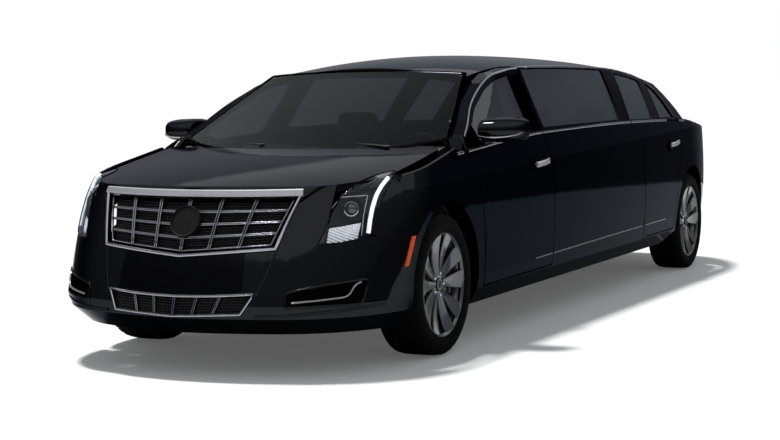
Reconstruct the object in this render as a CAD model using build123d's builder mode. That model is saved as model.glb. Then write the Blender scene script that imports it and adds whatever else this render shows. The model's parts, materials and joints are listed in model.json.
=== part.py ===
"""Stretch limousine: a long-wheelbase four-door saloon with a centre section let in between the doors.

Frame: +X forward, +Y to the car's left, +Z up, millimetres, origin on the floor under the car's middle.
Lengthwise places are written as distances forward of the front axle and turned into the frame by fore().
"""

from build123d import *
from collections import namedtuple
from math import cos, hypot, radians, sin
import os

os.makedirs("parts", exist_ok=True)

# ---------------------------------------------------------------- driving dimensions
SALOON_WHEELBASE = 2837
STRETCH = 1778
WHEELBASE = SALOON_WHEELBASE + STRETCH
FRONT_OVERHANG = 1080
REAR_OVERHANG = 1214
LENGTH = FRONT_OVERHANG + WHEELBASE + REAR_OVERHANG
HALF_WIDTH = 926
ROOF_HEIGHT = 1540
WALL = 110  # a door or body side, outer skin to inner trim
SKIN = 14  # an outer panel with no lining: front wings and bumpers
LID = 40  # bonnet and boot lid
FRAME_WALL = 42  # roof, pillars and window frames
GLASS = 6
GLASS_SET_IN = 7  # glass face behind the frame face
PANEL_GAP = 8  # between a moving panel and its neighbour
SEAT_GAP = 0.4  # between two fixed pieces that are fitted together
SWING_CLEARANCE = 7.5  # kept round a moving edge through its swing

AXLE_HEIGHT = 351.5
TYRE_RADIUS = 351.5
TYRE_WIDTH = 245
RIM_RADIUS = 241
FLANGE_RADIUS = 258
FLANGE_OUTSIDE = 104  # rim flange, outward from the wheel's centre plane
HALF_TRACK = 788
ARCH_RADIUS = 412
WELL_RADIUS = 430
STEER_AXIS_Y = 735
HUB_BORE = 32
RUNNING_CLEARANCE = 0.3

DOOR_AXIS_Y = 897  # hinge line at DOOR_AXIS_Z
DOOR_AXIS_Z = 430
DOOR_AXIS_LEAN = 6  # degrees the hinge line leans in at the top
HINGE_PLACES = (20, 330)  # along the hinge line from DOOR_AXIS_Z
HINGE_PIN = 6
HINGE_BARREL = 11
HINGE_HEIGHT = 44
FLOOR_TOP = 256

REAR_AXLE = -WHEELBASE
CENTRE_FRONT = -1545  # where the centre section begins
CENTRE_REAR = CENTRE_FRONT - STRETCH


def fore(distance):
    """Frame X of a place so far forward of the front axle."""
    return LENGTH / 2 - FRONT_OVERHANG + distance


def tail(distance):
    """Frame X of a place so far forward of the rear axle."""
    return fore(REAR_AXLE + distance)


def fore_points(points):
    """Frame points of a table whose x is forward of the front axle."""
    return [(fore(x), other) for x, other in points]


def tail_points(points):
    """Frame points of a table whose x is forward of the rear axle."""
    return [(tail(x), other) for x, other in points]


# ---------------------------------------------------------------- lower body: closed outlines at six levels
# height: at the front axle; rise: height gained for each millimetre forward; half_width; nose and back: the
# foremost and rearmost points on the centre line, forward of the front axle and behind the rear axle.
Level = namedtuple("Level", "height rise half_width nose back")
BODY_LEVELS = [
    Level(205, -0.008, HALF_WIDTH - 62, 986, 1135),
    Level(285, -0.008, HALF_WIDTH - 22, FRONT_OVERHANG - 6, 1180),
    Level(352, -0.0165, HALF_WIDTH - 10, FRONT_OVERHANG - 2, 1200),
    Level(600, -0.010, HALF_WIDTH, 990, REAR_OVERHANG),
    Level(858, -0.040, HALF_WIDTH - 8, 884, 1184),
    Level(1085, -0.020, HALF_WIDTH - 74, 780, 1090),
]
# Corner points of the plan outline: back from the nose (or forward from the tail) and in from the side.
NOSE_CORNERS = [(700, 0), (280, 146), (95, 406)]
TAIL_CORNERS = [(1230, 0), (630, 72), (230, 265), (75, 486)]


def body_outline(level, inset):
    """Plan outline of the left half of the lower body at one level, pushed in by inset."""
    half = level.half_width - inset
    nose = fore(level.nose - inset)
    back = tail(-level.back + inset)
    front = [(nose - back_by, half - in_by) for back_by, in_by in NOSE_CORNERS]
    rear = [(back + on_by, half - in_by) for on_by, in_by in TAIL_CORNERS]
    pitch = level.rise
    plane = Plane(origin=(0, 0, level.height - pitch * fore(0)), x_dir=(1, 0, pitch), z_dir=(-pitch, 0, 1))
    with BuildSketch(plane) as outline:
        with BuildLine():
            Line(rear[0], front[0])
            nose_1 = TangentArc(front[0], front[1], tangent=(1, 0))
            nose_2 = TangentArc(front[1], front[2], tangent=nose_1 % 1)
            TangentArc(front[2], (nose, 0), tangent=nose_2 % 1)
            tail_1 = TangentArc(rear[0], rear[1], tangent=(-1, 0))
            tail_2 = TangentArc(rear[1], rear[2], tangent=tail_1 % 1)
            tail_3 = TangentArc(rear[2], rear[3], tangent=tail_2 % 1)
            TangentArc(rear[3], (back, 0), tangent=tail_3 % 1)
            Line((back, 0), (nose, 0))
        make_face()
    return outline.sketch


def lower_body(inset):
    """Solid block of the lower body's left half, its sides pushed in by inset."""
    outlines = [body_outline(level, inset) for level in BODY_LEVELS]
    with BuildPart() as block:
        loft(outlines[0:3], ruled=True)
        loft(outlines[2:5])
        loft(outlines[4:6], ruled=True)
    return block.part


# ------------------------------------------------------------ greenhouse: closed outlines at three levels
# Windscreen middle and edge, pillar edge, side middle, rear pillar edge, rear window edge and middle.
# Places aft of the centre section are measured from the rear axle.
Glasshouse = namedtuple("Glasshouse", "z screen edge pillar side_y rear back glass")
GREENHOUSE_LEVELS = [
    Glasshouse(960, 53, (-150, 834), (-180, 902), 938, (-305, 850), (-555, 700), -675),
    Glasshouse(1240, -558, (-672, 690), (-705, 748), 801, (15, 745), (-105, 620), -185),
    Glasshouse(1560, -1257, (-1287, 530), (-1560, 625), 640, (735, 570), (650, 475), 570),
]
SCREEN_SLOPE = 24.5  # degrees from level
BACK_SLOPE = 26
SIDE_LEAN = 25  # degrees from upright
# Roof crown: height on the centre line at places along the roof.
ROOF_LINE = fore_points([(-300, 1270), (-980, 1440), (-1500, 1506), (-2150, 1537), (-2800, ROOF_HEIGHT)])
ROOF_LINE += tail_points([(1215, 1527), (665, 1488), (115, 1420), (-585, 1300)])
ROOF_EDGE_Y = 900
ROOF_CROWN = 128  # drop from the centre line to ROOF_EDGE_Y
SIDE_MIDDLE = -2450


def greenhouse_outline(lv, inset):
    """Closed plan outline of the greenhouse at one level, pushed in by inset square to each surface."""
    front = inset / sin(radians(SCREEN_SLOPE))
    behind = inset / sin(radians(BACK_SLOPE))
    side = inset / cos(radians(SIDE_LEAN))
    edge = (fore(lv.edge[0] - front), lv.edge[1] - side * 0.8)
    pillar = (fore(lv.pillar[0] - front * 0.7), lv.pillar[1] - side)
    rear = (tail(lv.rear[0] + behind * 0.7), lv.rear[1] - side)
    back = (tail(lv.back[0] + behind), lv.back[1] - side * 0.8)
    screen_mid = (fore(lv.screen - front), 0)
    glass_mid = (tail(lv.glass + behind), 0)
    with BuildSketch(Plane.XY.offset(lv.z)) as outline:
        with BuildLine():
            TangentArc(screen_mid, edge, tangent=(0, 1))
            Line(edge, pillar)
            ThreePointArc(pillar, (fore(SIDE_MIDDLE), lv.side_y - side), rear)
            Line(rear, back)
            TangentArc(glass_mid, back, tangent=(0, 1))
            Line(glass_mid, screen_mid)
        make_face()
    return outline.sketch


def above_surface(line, edge_y, crowns, inset):
    """Everything above the left half of a crowned top surface, or of one that lies inset below it."""
    sections = []
    for (x, z), crown in zip(line, crowns):
        plane = Plane(origin=(x, 0, z - inset), x_dir=(0, 1, 0), z_dir=(1, 0, 0))
        with BuildSketch(plane) as section:
            with BuildLine():
                TangentArc((0, 0), (edge_y, -crown), tangent=(1, 0))
                Polyline((edge_y, -crown), (edge_y, 700), (0, 700), (0, 0))
            make_face()
        sections.append(section.sketch)
    with BuildPart() as sky:
        loft(sections)
    return sky.part


def greenhouse(inset):
    """Solid block of the greenhouse's left half, its surfaces pushed in by inset."""
    with BuildPart() as block:
        loft([greenhouse_outline(lv, inset) for lv in GREENHOUSE_LEVELS])
        add(above_surface(ROOF_LINE, ROOF_EDGE_Y, [ROOF_CROWN] * len(ROOF_LINE), inset), mode=Mode.SUBTRACT)
    return block.part


# Bonnet and boot deck: height on the centre line and drop at the edge.
BONNET_LINE = fore_points([(1250, 775), (870, 868), (400, 952), (0, 1012), (-250, 1045), (-480, 1072)])
BONNET_CROWN = [80, 74, 62, 46, 28, 8]
BONNET_EDGE_Y = 1000
DECK_LINE = tail_points([(315, 1130), (-85, 1122), (-435, 1104), (-835, 1076), (-1285, 1040)])
DECK_CROWN = [20, 44, 74, 92, 100]


def above_bonnet(inset):
    return above_surface(BONNET_LINE, BONNET_EDGE_Y, BONNET_CROWN, inset)


def above_deck(inset):
    return above_surface(DECK_LINE, BONNET_EDGE_Y, DECK_CROWN, inset)


# ---------------------------------------------------------------- cutting shapes
def side_prism(points, y0=300, y1=1150):
    """Block whose side view is this polygon, on the left of the car; points are frame X and height."""
    with BuildPart() as block:
        with BuildSketch(Plane.XZ.offset(-y1)):
            with BuildLine():
                Polyline(*points, close=True)
            make_face()
        extrude(amount=y1 - y0)
    return block.part


def plan_prism(points, z0, z1):
    """Block whose plan is this polygon; points are frame X and Y."""
    with BuildPart() as block:
        with BuildSketch(Plane.XY.offset(z0)):
            with BuildLine():
                Polyline(*points, close=True)
            make_face()
        extrude(amount=z1 - z0)
    return block.part


def front_prism(points, x0, x1):
    """Block whose front view is this polygon; points are Y and height."""
    with BuildPart() as block:
        with BuildSketch(Plane(origin=(x0, 0, 0), x_dir=(0, 1, 0), z_dir=(1, 0, 0))):
            with BuildLine():
                Polyline(*points, close=True)
            make_face()
        extrude(amount=x1 - x0)
    return block.part


def grown(points, margin):
    """A polygon moved outward by margin (inward when negative), corners kept sharp."""
    count = len(points)
    area = sum(points[i - 1][0] * points[i][1] - points[i][0] * points[i - 1][1] for i in range(count))
    move = margin if area > 0 else -margin
    edges = []
    for i in range(count):
        (x0, y0), (x1, y1) = points[i], points[(i + 1) % count]
        size = ((x1 - x0) ** 2 + (y1 - y0) ** 2) ** 0.5
        dx, dy = (x1 - x0) / size, (y1 - y0) / size
        edges.append((x0 + dy * move, y0 - dx * move, dx, dy))
    moved = []
    for i in range(count):
        ax, ay, adx, ady = edges[i - 1]
        bx, by, bdx, bdy = edges[i]
        cross = adx * bdy - ady * bdx
        if abs(cross) < 1e-6:
            moved.append((bx, by))
            continue
        t = ((bx - ax) * bdy - (by - ay) * bdx) / cross
        moved.append((ax + adx * t, ay + ady * t))
    return moved


def box(x0, x1, y0, y1, z0, z1):
    with BuildPart() as block:
        with Locations(((x0 + x1) / 2, (y0 + y1) / 2, (z0 + z1) / 2)):
            Box(x1 - x0, y1 - y0, z1 - z0)
    return block.part


def wheel_cylinder(x, radius, y0, y1):
    with BuildPart() as drum:
        with BuildSketch(Plane(origin=(x, y0, AXLE_HEIGHT), x_dir=(1, 0, 0), z_dir=(0, 1, 0))):
            Circle(radius)
        extrude(amount=y1 - y0)
    return drum.part


# ---------------------------------------------------------------- side view lines
# Tables named FRONT are forward of the front axle, tables named REAR forward of the rear axle.
BELT = fore_points([(-254, 1000), (-800, 1040), (-1240, 1066), (CENTRE_FRONT + 45, 1079), (-2200, 1096),
                    (-2800, 1106)])
BELT += tail_points([(1400, 1110), (725, 1111), (365, 1107), (27, 1097)])

FRONT_DOOR_LOW = [(-349, 1005), (-372, 950), (-414, 873), (-470, 660), (-495, 547), (-502, 300)]
FRONT_DOOR_REAR = [(-1556, 314), (-1552, 800), (-1540, 960), (-1522, 1040), (-1500, 1078), (-1548, 1250),
                   (-1598, 1444)]
FRONT_DOOR_TOP = [(-1450, 1441), (-1190, 1408), (-975, 1350), (-720, 1250), (-545, 1150), (-400, 1080)]
REAR_DOOR_LOW = [(1393, 1110), (1353, 1075), (1290, 1000), (1253, 900), (1223, 700), (1215, 328)]
REAR_DOOR_REAR = [(495, 336), (447, 420), (439, 520), (407, 640), (379, 760), (353, 860), (297, 960),
                  (275, 1040), (283, 1093), (575, 1101), (546, 1240), (520, 1380)]
REAR_DOOR_TOP = [(565, 1409), (915, 1453), (1165, 1466), (1243, 1467)]


def sheet(block, outer, inner):
    """The part of a hollow body that lies between two insets."""
    with BuildPart() as layer:
        add(block[outer])
        add(block[inner], mode=Mode.SUBTRACT, clean=False)
    return layer.part


def only(part, *tools):
    """A part kept only where it meets every tool."""
    with BuildPart() as kept:
        add(part)
        for tool in tools:
            add(tool, mode=Mode.INTERSECT, clean=False)
    return kept.part


def without(part, *tools):
    """A part with every tool cut away."""
    with BuildPart() as cut:
        add(part)
        add(list(tools), mode=Mode.SUBTRACT, clean=False)
    return cut.part


def joined(*parts):
    with BuildPart() as whole:
        add(list(parts), clean=False)
    return whole.part


BODY = {inset: lower_body(inset) for inset in (-6, 0, 10, SKIN, 32, 70, WALL)}
HOUSE = {inset: greenhouse(inset) for inset in (0, GLASS_SET_IN, GLASS_SET_IN + GLASS, 22, FRAME_WALL)}
SKY_BONNET = above_bonnet(0)
OVER_COWL = above_bonnet(20)
UNDER_COWL = above_bonnet(56)
UNDER_BONNET = above_bonnet(LID)
SKY_DECK = above_deck(0)
OVER_SHELF = above_deck(18)
UNDER_SHELF = above_deck(44)
UNDER_DECK = above_deck(LID)

FRONT_X = fore(FRONT_OVERHANG)
REAR_X = tail(-REAR_OVERHANG)
BELT_ENDS = (tail(-385), fore(-100))
BELT_STEP = BELT + [(BELT_ENDS[0], 1097)]
ABOVE_BELT = side_prism(BELT_STEP + [(BELT_ENDS[0], 1700), (BELT_ENDS[1], 1700), (BELT_ENDS[1], 1000)], 0)
BELOW_BELT = side_prism(BELT_STEP + [(BELT_ENDS[0], 100), (BELT_ENDS[1], 100), (BELT_ENDS[1], 1000)], 0)
LEFT_HALF = box(REAR_X - 50, FRONT_X + 50, 0, 1200, 100, 1700)

# ---------------------------------------------------------------- where panels meet
BONNET_FRONT = [(868, 0), (862, 200), (838, 380), (796, 525), (672, 655), (470, 800)]
BONNET_SIDE = [(150, 806), (-150, 800), (-212, 782)]
BONNET_REAR = [(-130, 500), (-62, 250), (-40, 0)]
HEADLIGHT = [(850, 938), (655, 815), (655, 606), (835, 640), (875, 700)]
GRILLE = [(528, 836), (0, 858), (-528, 836), (-455, 592), (0, 556), (455, 592)]
LOWER_GRILLE = [(384, 391), (0, 376), (-384, 391), (-332, 300), (0, 286), (332, 300)]
SCREEN_EDGE = [(-60, 838), (-300, 793), (-690, 690), (-1008, 602)]
SCREEN_HEAD = [(-992, 300), (-984, 0)]
ROOF_SIDE_Y = 602
ROOF_TAIL = [(385, ROOF_SIDE_Y), (362, 500), (338, 250), (330, 0)]  # forward of the rear axle
BACKLIGHT_EDGE = [(362, 500), (-105, 628), (-470, 702)]
LID_PLAN = [(-470, 0), (-462, 250), (-435, 480), (-418, 640), (-700, 655), (-980, 600), (-1300, 560)]
TAIL_LAMP = [(565, 1080), (565, 860), (640, 700), (905, 690), (905, 1080)]


def mirrored_plan(points, place):
    """Closed polygon from its left half; place turns a table distance into frame X."""
    half = [(place(x), y) for x, y in points]
    return half + [(x, -y) for x, y in reversed(half) if y > 1]


def largest(part):
    with BuildPart() as main:
        add(sorted(part.solids(), key=lambda solid: solid.volume)[-1])
    return main.part


def named(label, part):
    """Label a finished piece and write it out."""
    part.label = label
    export_step(part, f"parts/{label}.step")
    return part


def both(part):
    """A left half and its mirror image as one piece."""
    with BuildPart() as whole:
        add(part)
        mirror(part, about=Plane.XZ)
    return whole.part


def right_of(part):
    with BuildPart() as other:
        mirror(part, about=Plane.XZ)
    return other.part


BONNET_ALL = mirrored_plan(BONNET_FRONT + BONNET_SIDE + BONNET_REAR, fore)
LAMP_BLOCK = front_prism(HEADLIGHT, fore(380), fore(1000))
ARCHES = [wheel_cylinder(fore(0), ARCH_RADIUS, 300, 1000), wheel_cylinder(tail(0), ARCH_RADIUS, 300, 1000)]
BUMPER_SIDE = [(405, 150), (405, 470), (440, 612), (650, 640), (1300, 640), (1300, 150)]
NOSE_SIDE = [(640, 630), (640, 1000), (1300, 1000), (1300, 630)]
NARROW = box(fore(0), FRONT_X + 50, -655, 655, 100, 1200)
BUMPER_ZONE = joined(side_prism(fore_points(BUMPER_SIDE), 0),
                     only(side_prism(fore_points(NOSE_SIDE), 0), NARROW))

# ---------------------------------------------------------------- bonnet
BONNET_AXIS = (-262, 1000)
BONNET_ARM_Y = 690
BONNET_ARM = [(-276, 986), (-276, 1012), (-250, 1006), (-195, 984), (-90, 992), (-90, 962), (-200, 962),
              (-240, 978)]


def lid_arm(points, place, y, width, axis):
    """Upright arm of a lid hinge with the pin hole bored through it."""
    with BuildPart() as arm:
        with BuildSketch(Plane.XZ.offset(-y - width / 2)):
            with BuildLine():
                Polyline(*[(place(x), z) for x, z in points], close=True)
            make_face()
        extrude(amount=width)
        with Locations(Location((place(axis[0]), y, axis[1]), (90, 0, 0))):
            Cylinder(HINGE_PIN + RUNNING_CLEARANCE, width * 2, mode=Mode.SUBTRACT)
    return arm.part


bonnet_panel = only(BODY[0], plan_prism(grown(BONNET_ALL, -PANEL_GAP / 2), 600, 1200), UNDER_BONNET)
bonnet_panel = without(bonnet_panel, SKY_BONNET)
bonnet_arm = lid_arm(BONNET_ARM, fore, BONNET_ARM_Y, 12, BONNET_AXIS)
hood = named("hood", both(joined(bonnet_panel, bonnet_arm)))

# ---------------------------------------------------------------- door hinges
# low: front shut line from the top down; rear: rear shut line from the floor up; top: roof edge from back
# to front; glass: window opening; hinge_x: hinge line; place: which axle the tables are measured from;
# widen: wedge opened behind the top of the frame.
Door = namedtuple("Door", "label low rear top glass hinge_x place widen")
DOORS = [
    Door("front", FRONT_DOOR_LOW, FRONT_DOOR_REAR, FRONT_DOOR_TOP,
         [(-580, 1034), (-580, 1126), (-735, 1214), (-985, 1312), (-1196, 1369), (-1428, 1400),
          (-1331, 1079)],
         -514, fore, [(-1520, 1160), (-1562, 1240), (-1616, 1453), (-1590, 1452)]),
    Door("rear", REAR_DOOR_LOW, REAR_DOOR_REAR, REAR_DOOR_TOP,
         [(1349, 1118), (1203, 1428), (915, 1413), (643, 1384), (747, 1118)],
         1201, tail, [(560, 1160), (532, 1250), (496, 1385), (530, 1420)]),
]


def skin_y(x, z):
    """Half width of the body's straight side at a frame X and height."""
    levels = [(lv.height + lv.rise * (x - fore(0)), lv.half_width) for lv in BODY_LEVELS]
    for (z0, y0), (z1, y1) in zip(levels, levels[1:]):
        if z <= z1:
            return y0 + (y1 - y0) * (z - z0) / (z1 - z0)
    return levels[-1][1]


def hinge_plane(door, along=0):
    """Plane square to a door's leaning hinge line, a distance up it from DOOR_AXIS_Z."""
    lean = radians(DOOR_AXIS_LEAN)
    y = DOOR_AXIS_Y - along * sin(lean)
    z = DOOR_AXIS_Z + along * cos(lean)
    return Plane(origin=(door.place(door.hinge_x), y, z), x_dir=(1, 0, 0), z_dir=(0, -sin(lean), cos(lean)))


def hinge_drum(door, start, end, radius):
    with BuildPart() as drum:
        with BuildSketch(hinge_plane(door, start)):
            Circle(radius)
        extrude(amount=end - start)
    return drum.part


def hinge_bar(door, start, end, x0, x1, y0, y1):
    """Square bar beside the hinge line, placed by distances from that line."""
    with BuildPart() as bar:
        with BuildSketch(hinge_plane(door, start)):
            with Locations(((x0 + x1) / 2, (y0 + y1) / 2)):
                Rectangle(x1 - x0, y1 - y0)
        extrude(amount=end - start)
    return bar.part


def swing_space(door, depth=0):
    """Space about the hinge line that a door's leading edge needs, for an edge so deep inside the skin."""
    lean = radians(DOOR_AXIS_LEAN)
    edge = [point for point in reversed(door.low)]
    hinge_x = door.place(door.hinge_x)
    edge += [point for point in reversed(door.top) if door.place(point[0]) > hinge_x and point[1] < 1150]
    profile = []
    for table_x, z in edge:
        along = (z - DOOR_AXIS_Z) / cos(lean)
        ahead = table_x - door.hinge_x
        outside = skin_y(door.place(table_x), z) + 2 - (DOOR_AXIS_Y - along * sin(lean))
        reach = hypot(ahead, max(outside, 0))
        if depth and outside < depth:
            reach = max(reach, hypot(ahead, outside - depth))
        profile.append((reach + SWING_CLEARANCE, along))
    low = (profile[0][0], profile[0][1] - 12)
    high = (profile[-1][0] * 0.8, profile[-1][1] + 30)
    base = hinge_plane(door)
    side_on = Plane(origin=base.origin, x_dir=(1, 0, 0), z_dir=(0, -cos(lean), -sin(lean)))
    with BuildPart() as space:
        with BuildSketch(side_on):
            with BuildLine():
                Polyline((0, low[1]), low, *profile, high, (0, high[1]), close=True)
            make_face()
        revolve(axis=Axis(base.origin, base.z_dir))
    return space.part


# ---------------------------------------------------------------- front wings and bumper
front_shell = without(sheet(BODY, 0, SKIN), SKY_BONNET)
front_shell = without(front_shell, plan_prism(grown(BONNET_ALL, PANEL_GAP / 2), 560, 1200))
WING_REAR = [(x + PANEL_GAP, z) for x, z in FRONT_DOOR_LOW[:-1]] + [(-494, 150)]
WING_TOP = fore_points([(-700, 996), (-262, 996), (-100, 1075), (-100, 1300), (-700, 1300)])
wing_zone = side_prism(fore_points([(-341, 1100)] + WING_REAR + [(1300, 150), (1300, 1100)]))
wing_zone = without(without(wing_zone, BUMPER_ZONE, LAMP_BLOCK), ARCHES[0], side_prism(WING_TOP, 250, 1200))
wing = without(only(front_shell, wing_zone), swing_space(DOORS[0]))
front_fenders = named("front_fenders", both(largest(wing)))

bumper_cuts = [front_prism(outline, fore(500), FRONT_X + 20) for outline in (GRILLE, LOWER_GRILLE)]
bumper_cuts.append(side_prism(fore_points([(380, 100), (408, 100), (408, 480), (440, 608), (380, 700)])))
bumper_zone = without(without(BUMPER_ZONE, LAMP_BLOCK, ARCHES[0]), *bumper_cuts)
bumper = only(front_shell, bumper_zone)
front_bumper = named("front_bumper", both(bumper))

# ---------------------------------------------------------------- grilles: framed slabs with bars
grille_slab = sheet(BODY, -6, 32)


def grille_piece(outline, frame, columns, rows):
    """Frame and bars cut from a slab that follows the nose."""
    outer = front_prism(grown(outline, -SEAT_GAP), fore(600), FRONT_X + 30)
    inner = grown(outline, -frame)
    low = min(z for _, z in inner)
    high = max(z for _, z in inner)
    hole = front_prism(inner, fore(500), FRONT_X + 60)
    bars = []
    for z in [low + (high - low) * (i + 1) / (rows + 1) for i in range(rows)]:
        bars.append(box(fore(500), FRONT_X + 60, -600, 600, z - 7, z + 7))
    for y in columns:
        lean = 0.24 * y / abs(y) if y else 0
        bars.append(front_prism([(y - 6, low - 10), (y + 6, low - 10), (y + 6 + lean * 260, high + 10),
                                 (y - 6 + lean * 260, high + 10)], fore(500), FRONT_X + 60))
    slab = without(grille_slab, plan_prism(grown(BONNET_ALL, PANEL_GAP / 2), 560, 1200))
    return both(only(slab, outer, joined(without(outer, hole), *bars)))


grille = named("grille", grille_piece(GRILLE, 30, (-330, -165, 0, 165, 330), 3))
lower_grille = named("lower_grille", grille_piece(LOWER_GRILLE, 14, (-220, -110, 0, 110, 220), 0))

# ---------------------------------------------------------------- headlights
lamp = only(sheet(BODY, 0, 70), front_prism(grown(HEADLIGHT, -SEAT_GAP), fore(420), fore(1000)))
lamp = without(lamp, SKY_BONNET, plan_prism(grown(BONNET_ALL, PANEL_GAP / 2), 560, 1200), ARCHES[0])
headlights = named("headlights", both(largest(lamp)))

# ---------------------------------------------------------------- glass at the ends
glass_sheet = sheet(HOUSE, GLASS_SET_IN, GLASS_SET_IN + GLASS)
SCREEN_PLAN = mirrored_plan([(100, 0), (100, 860)] + SCREEN_EDGE + SCREEN_HEAD, fore)
screen = only(glass_sheet, plan_prism(grown(SCREEN_PLAN, -SEAT_GAP), 900, 1600))
screen_foot = without(box(fore(-700), fore(300), -900, 900, 800, 1200), above_bonnet(20 - SEAT_GAP))
screen = without(screen, screen_foot)
windscreen = named("windscreen", both(largest(screen)))
BACKLIGHT_FOOT = [(-560, 730), (-800, 730), (-800, 0)]
BACKLIGHT_PLAN = mirrored_plan([(330, 0), (338, 250)] + BACKLIGHT_EDGE + BACKLIGHT_FOOT, tail)
backlight = only(glass_sheet, plan_prism(grown(BACKLIGHT_PLAN, -SEAT_GAP), 900, 1600))
backlight_low = without(box(tail(-900), tail(200), -900, 900, 800, 1250), above_deck(18 - SEAT_GAP))
backlight = without(backlight, backlight_low)
rear_window = named("rear_window", both(largest(backlight)))

# ---------------------------------------------------------------- roof
house_sheet = sheet(HOUSE, 0, FRAME_WALL)
ROOF_PLAN = [(fore(x), y) for x, y in reversed(SCREEN_HEAD)] + [(fore(-1008), ROOF_SIDE_Y)]
ROOF_PLAN = ROOF_PLAN + [(tail(x), y) for x, y in ROOF_TAIL]
ROOF_PLAN = ROOF_PLAN + [(x, -y) for x, y in reversed(ROOF_PLAN) if y > 1]
roof_half = only(house_sheet, plan_prism(grown(ROOF_PLAN, -SEAT_GAP / 2), 1200, 1600))
roof_panel = named("roof_panel", both(largest(roof_half)))

# ---------------------------------------------------------------- boot lid, tail lamps and rear bumper
LID_AXIS = (-345, 1060)
LID_ARM_Y = 560
# The arm loops under the foot of the rear window glass, which passes through the loop as it opens.
LID_ARM = [(-331, 1074), (-331, 1046), (-336, 978), (-372, 944), (-447, 944), (-524, 1036), (-524, 1060),
           (-490, 1056), (-438, 968), (-384, 968), (-361, 992), (-357, 1046), (-359, 1074)]
LID_ALL = mirrored_plan(LID_PLAN, tail)
LID_LOW = 742
lid_block = plan_prism(grown(LID_ALL, -PANEL_GAP / 2), LID_LOW, 1200)
lid_top = without(only(BODY[0], lid_block, UNDER_DECK), SKY_DECK)
lid_back = without(only(sheet(BODY, 0, 32), lid_block), SKY_DECK)
lid_side_arm = lid_arm(LID_ARM, tail, LID_ARM_Y, 12, LID_AXIS)
trunk_lid = named("trunk_lid", both(largest(joined(lid_top, lid_back, lid_side_arm))))

tail_shell = without(sheet(BODY, 0, SKIN), SKY_DECK)
LAMP_ZONE = front_prism(TAIL_LAMP, REAR_X - 20, tail(-905))
LAMP_PRISM = front_prism(grown(TAIL_LAMP, -SEAT_GAP), REAR_X - 20, tail(-905))
tail_lamp = only(without(sheet(BODY, 0, 70), SKY_DECK), LAMP_PRISM)
tail_lamp = without(tail_lamp, plan_prism(grown(LID_ALL, PANEL_GAP / 2 + 3), LID_LOW - PANEL_GAP, 1200))
tail_lamps = named("tail_lamps", both(largest(tail_lamp)))

BUMPER_TOP = LID_LOW - PANEL_GAP
REAR_BUMPER_SIDE = [(-405, 150), (-405, 470), (-440, 640), (-905, 690), (-905, BUMPER_TOP),
                    (-1400, BUMPER_TOP), (-1400, 150)]
REAR_BUMPER_ZONE = side_prism(tail_points(REAR_BUMPER_SIDE), 0)
rear_skin = without(only(tail_shell, REAR_BUMPER_ZONE), ARCHES[1], LAMP_ZONE)
rear_skin = without(rear_skin, box(tail(-408), tail(-300), 0, 1000, 100, 900))
rear_bumper = named("rear_bumper", both(largest(rear_skin)))

# ---------------------------------------------------------------- doors
lower_outer = sheet(BODY, 0, 32)
lower_inner = sheet(BODY, 32, WALL)
house_outer = sheet(HOUSE, 0, 22)
house_inner = sheet(HOUSE, 22, FRAME_WALL)
door_apertures = []
door_swings = []
for door in DOORS:
    place_points = fore_points if door.place is fore else tail_points
    outline = place_points(door.low[::-1] + door.top[::-1] + door.rear[::-1])
    hinge_x = door.place(door.hinge_x)
    outer_cut = side_prism(outline)
    frame_cuts = [side_prism(place_points(door.glass)),
                  plan_prism(grown(SCREEN_PLAN, PANEL_GAP), 900, 1600),
                  plan_prism(grown(ROOF_PLAN, PANEL_GAP + 5), 1100, 1600)]
    # ahead of the hinge line a door is only its outer skin
    behind_hinge = box(REAR_X, hinge_x - 30, 0, 1150, 100, 1200)
    lining_zone = only(side_prism(grown(outline, -22)), BELOW_BELT, behind_hinge)
    outer_zone = without(only(outer_cut, ABOVE_BELT), *frame_cuts)
    inner_zone = without(only(side_prism(grown(outline, -12)), ABOVE_BELT), *frame_cuts)
    panel = joined(only(lower_outer, only(outer_cut, BELOW_BELT)), only(lower_inner, lining_zone),
                   only(house_outer, outer_zone), only(house_inner, inner_zone))
    notches = [hinge_drum(door, along - HINGE_HEIGHT, along + HINGE_HEIGHT, 46) for along in HINGE_PLACES]
    panel = without(panel, only(joined(*notches), BODY[10]))
    fittings = []
    for along in HINGE_PLACES:
        arm = hinge_bar(door, along - HINGE_HEIGHT / 2, along + HINGE_HEIGHT / 2, -60, 0, -7, 7)
        barrel = hinge_drum(door, along - HINGE_HEIGHT / 2, along + HINGE_HEIGHT / 2, HINGE_BARREL)
        bore = hinge_drum(door, along - HINGE_HEIGHT, along + HINGE_HEIGHT, HINGE_PIN + RUNNING_CLEARANCE)
        block = hinge_bar(door, along - HINGE_HEIGHT / 2, along + HINGE_HEIGHT / 2, -80, -44, -24, 7)
        fittings.append(without(joined(arm, barrel, block), bore))
    panel = largest(joined(panel, *fittings))
    pane = largest(only(glass_sheet, side_prism(grown(place_points(door.glass), -SEAT_GAP))))
    wedge = side_prism(place_points(door.widen))
    door_apertures.append(joined(side_prism(grown(outline, PANEL_GAP)), wedge))
    door_swings.append(joined(swing_space(door), only(swing_space(door, 32), BODY[SKIN])))
    left = named(f"{door.label}_door_left", panel)
    named(f"{door.label}_door_right", right_of(left))
    pane_left = named(f"{door.label}_door_glass_left", pane)
    named(f"{door.label}_door_glass_right", right_of(pane_left))

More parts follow.
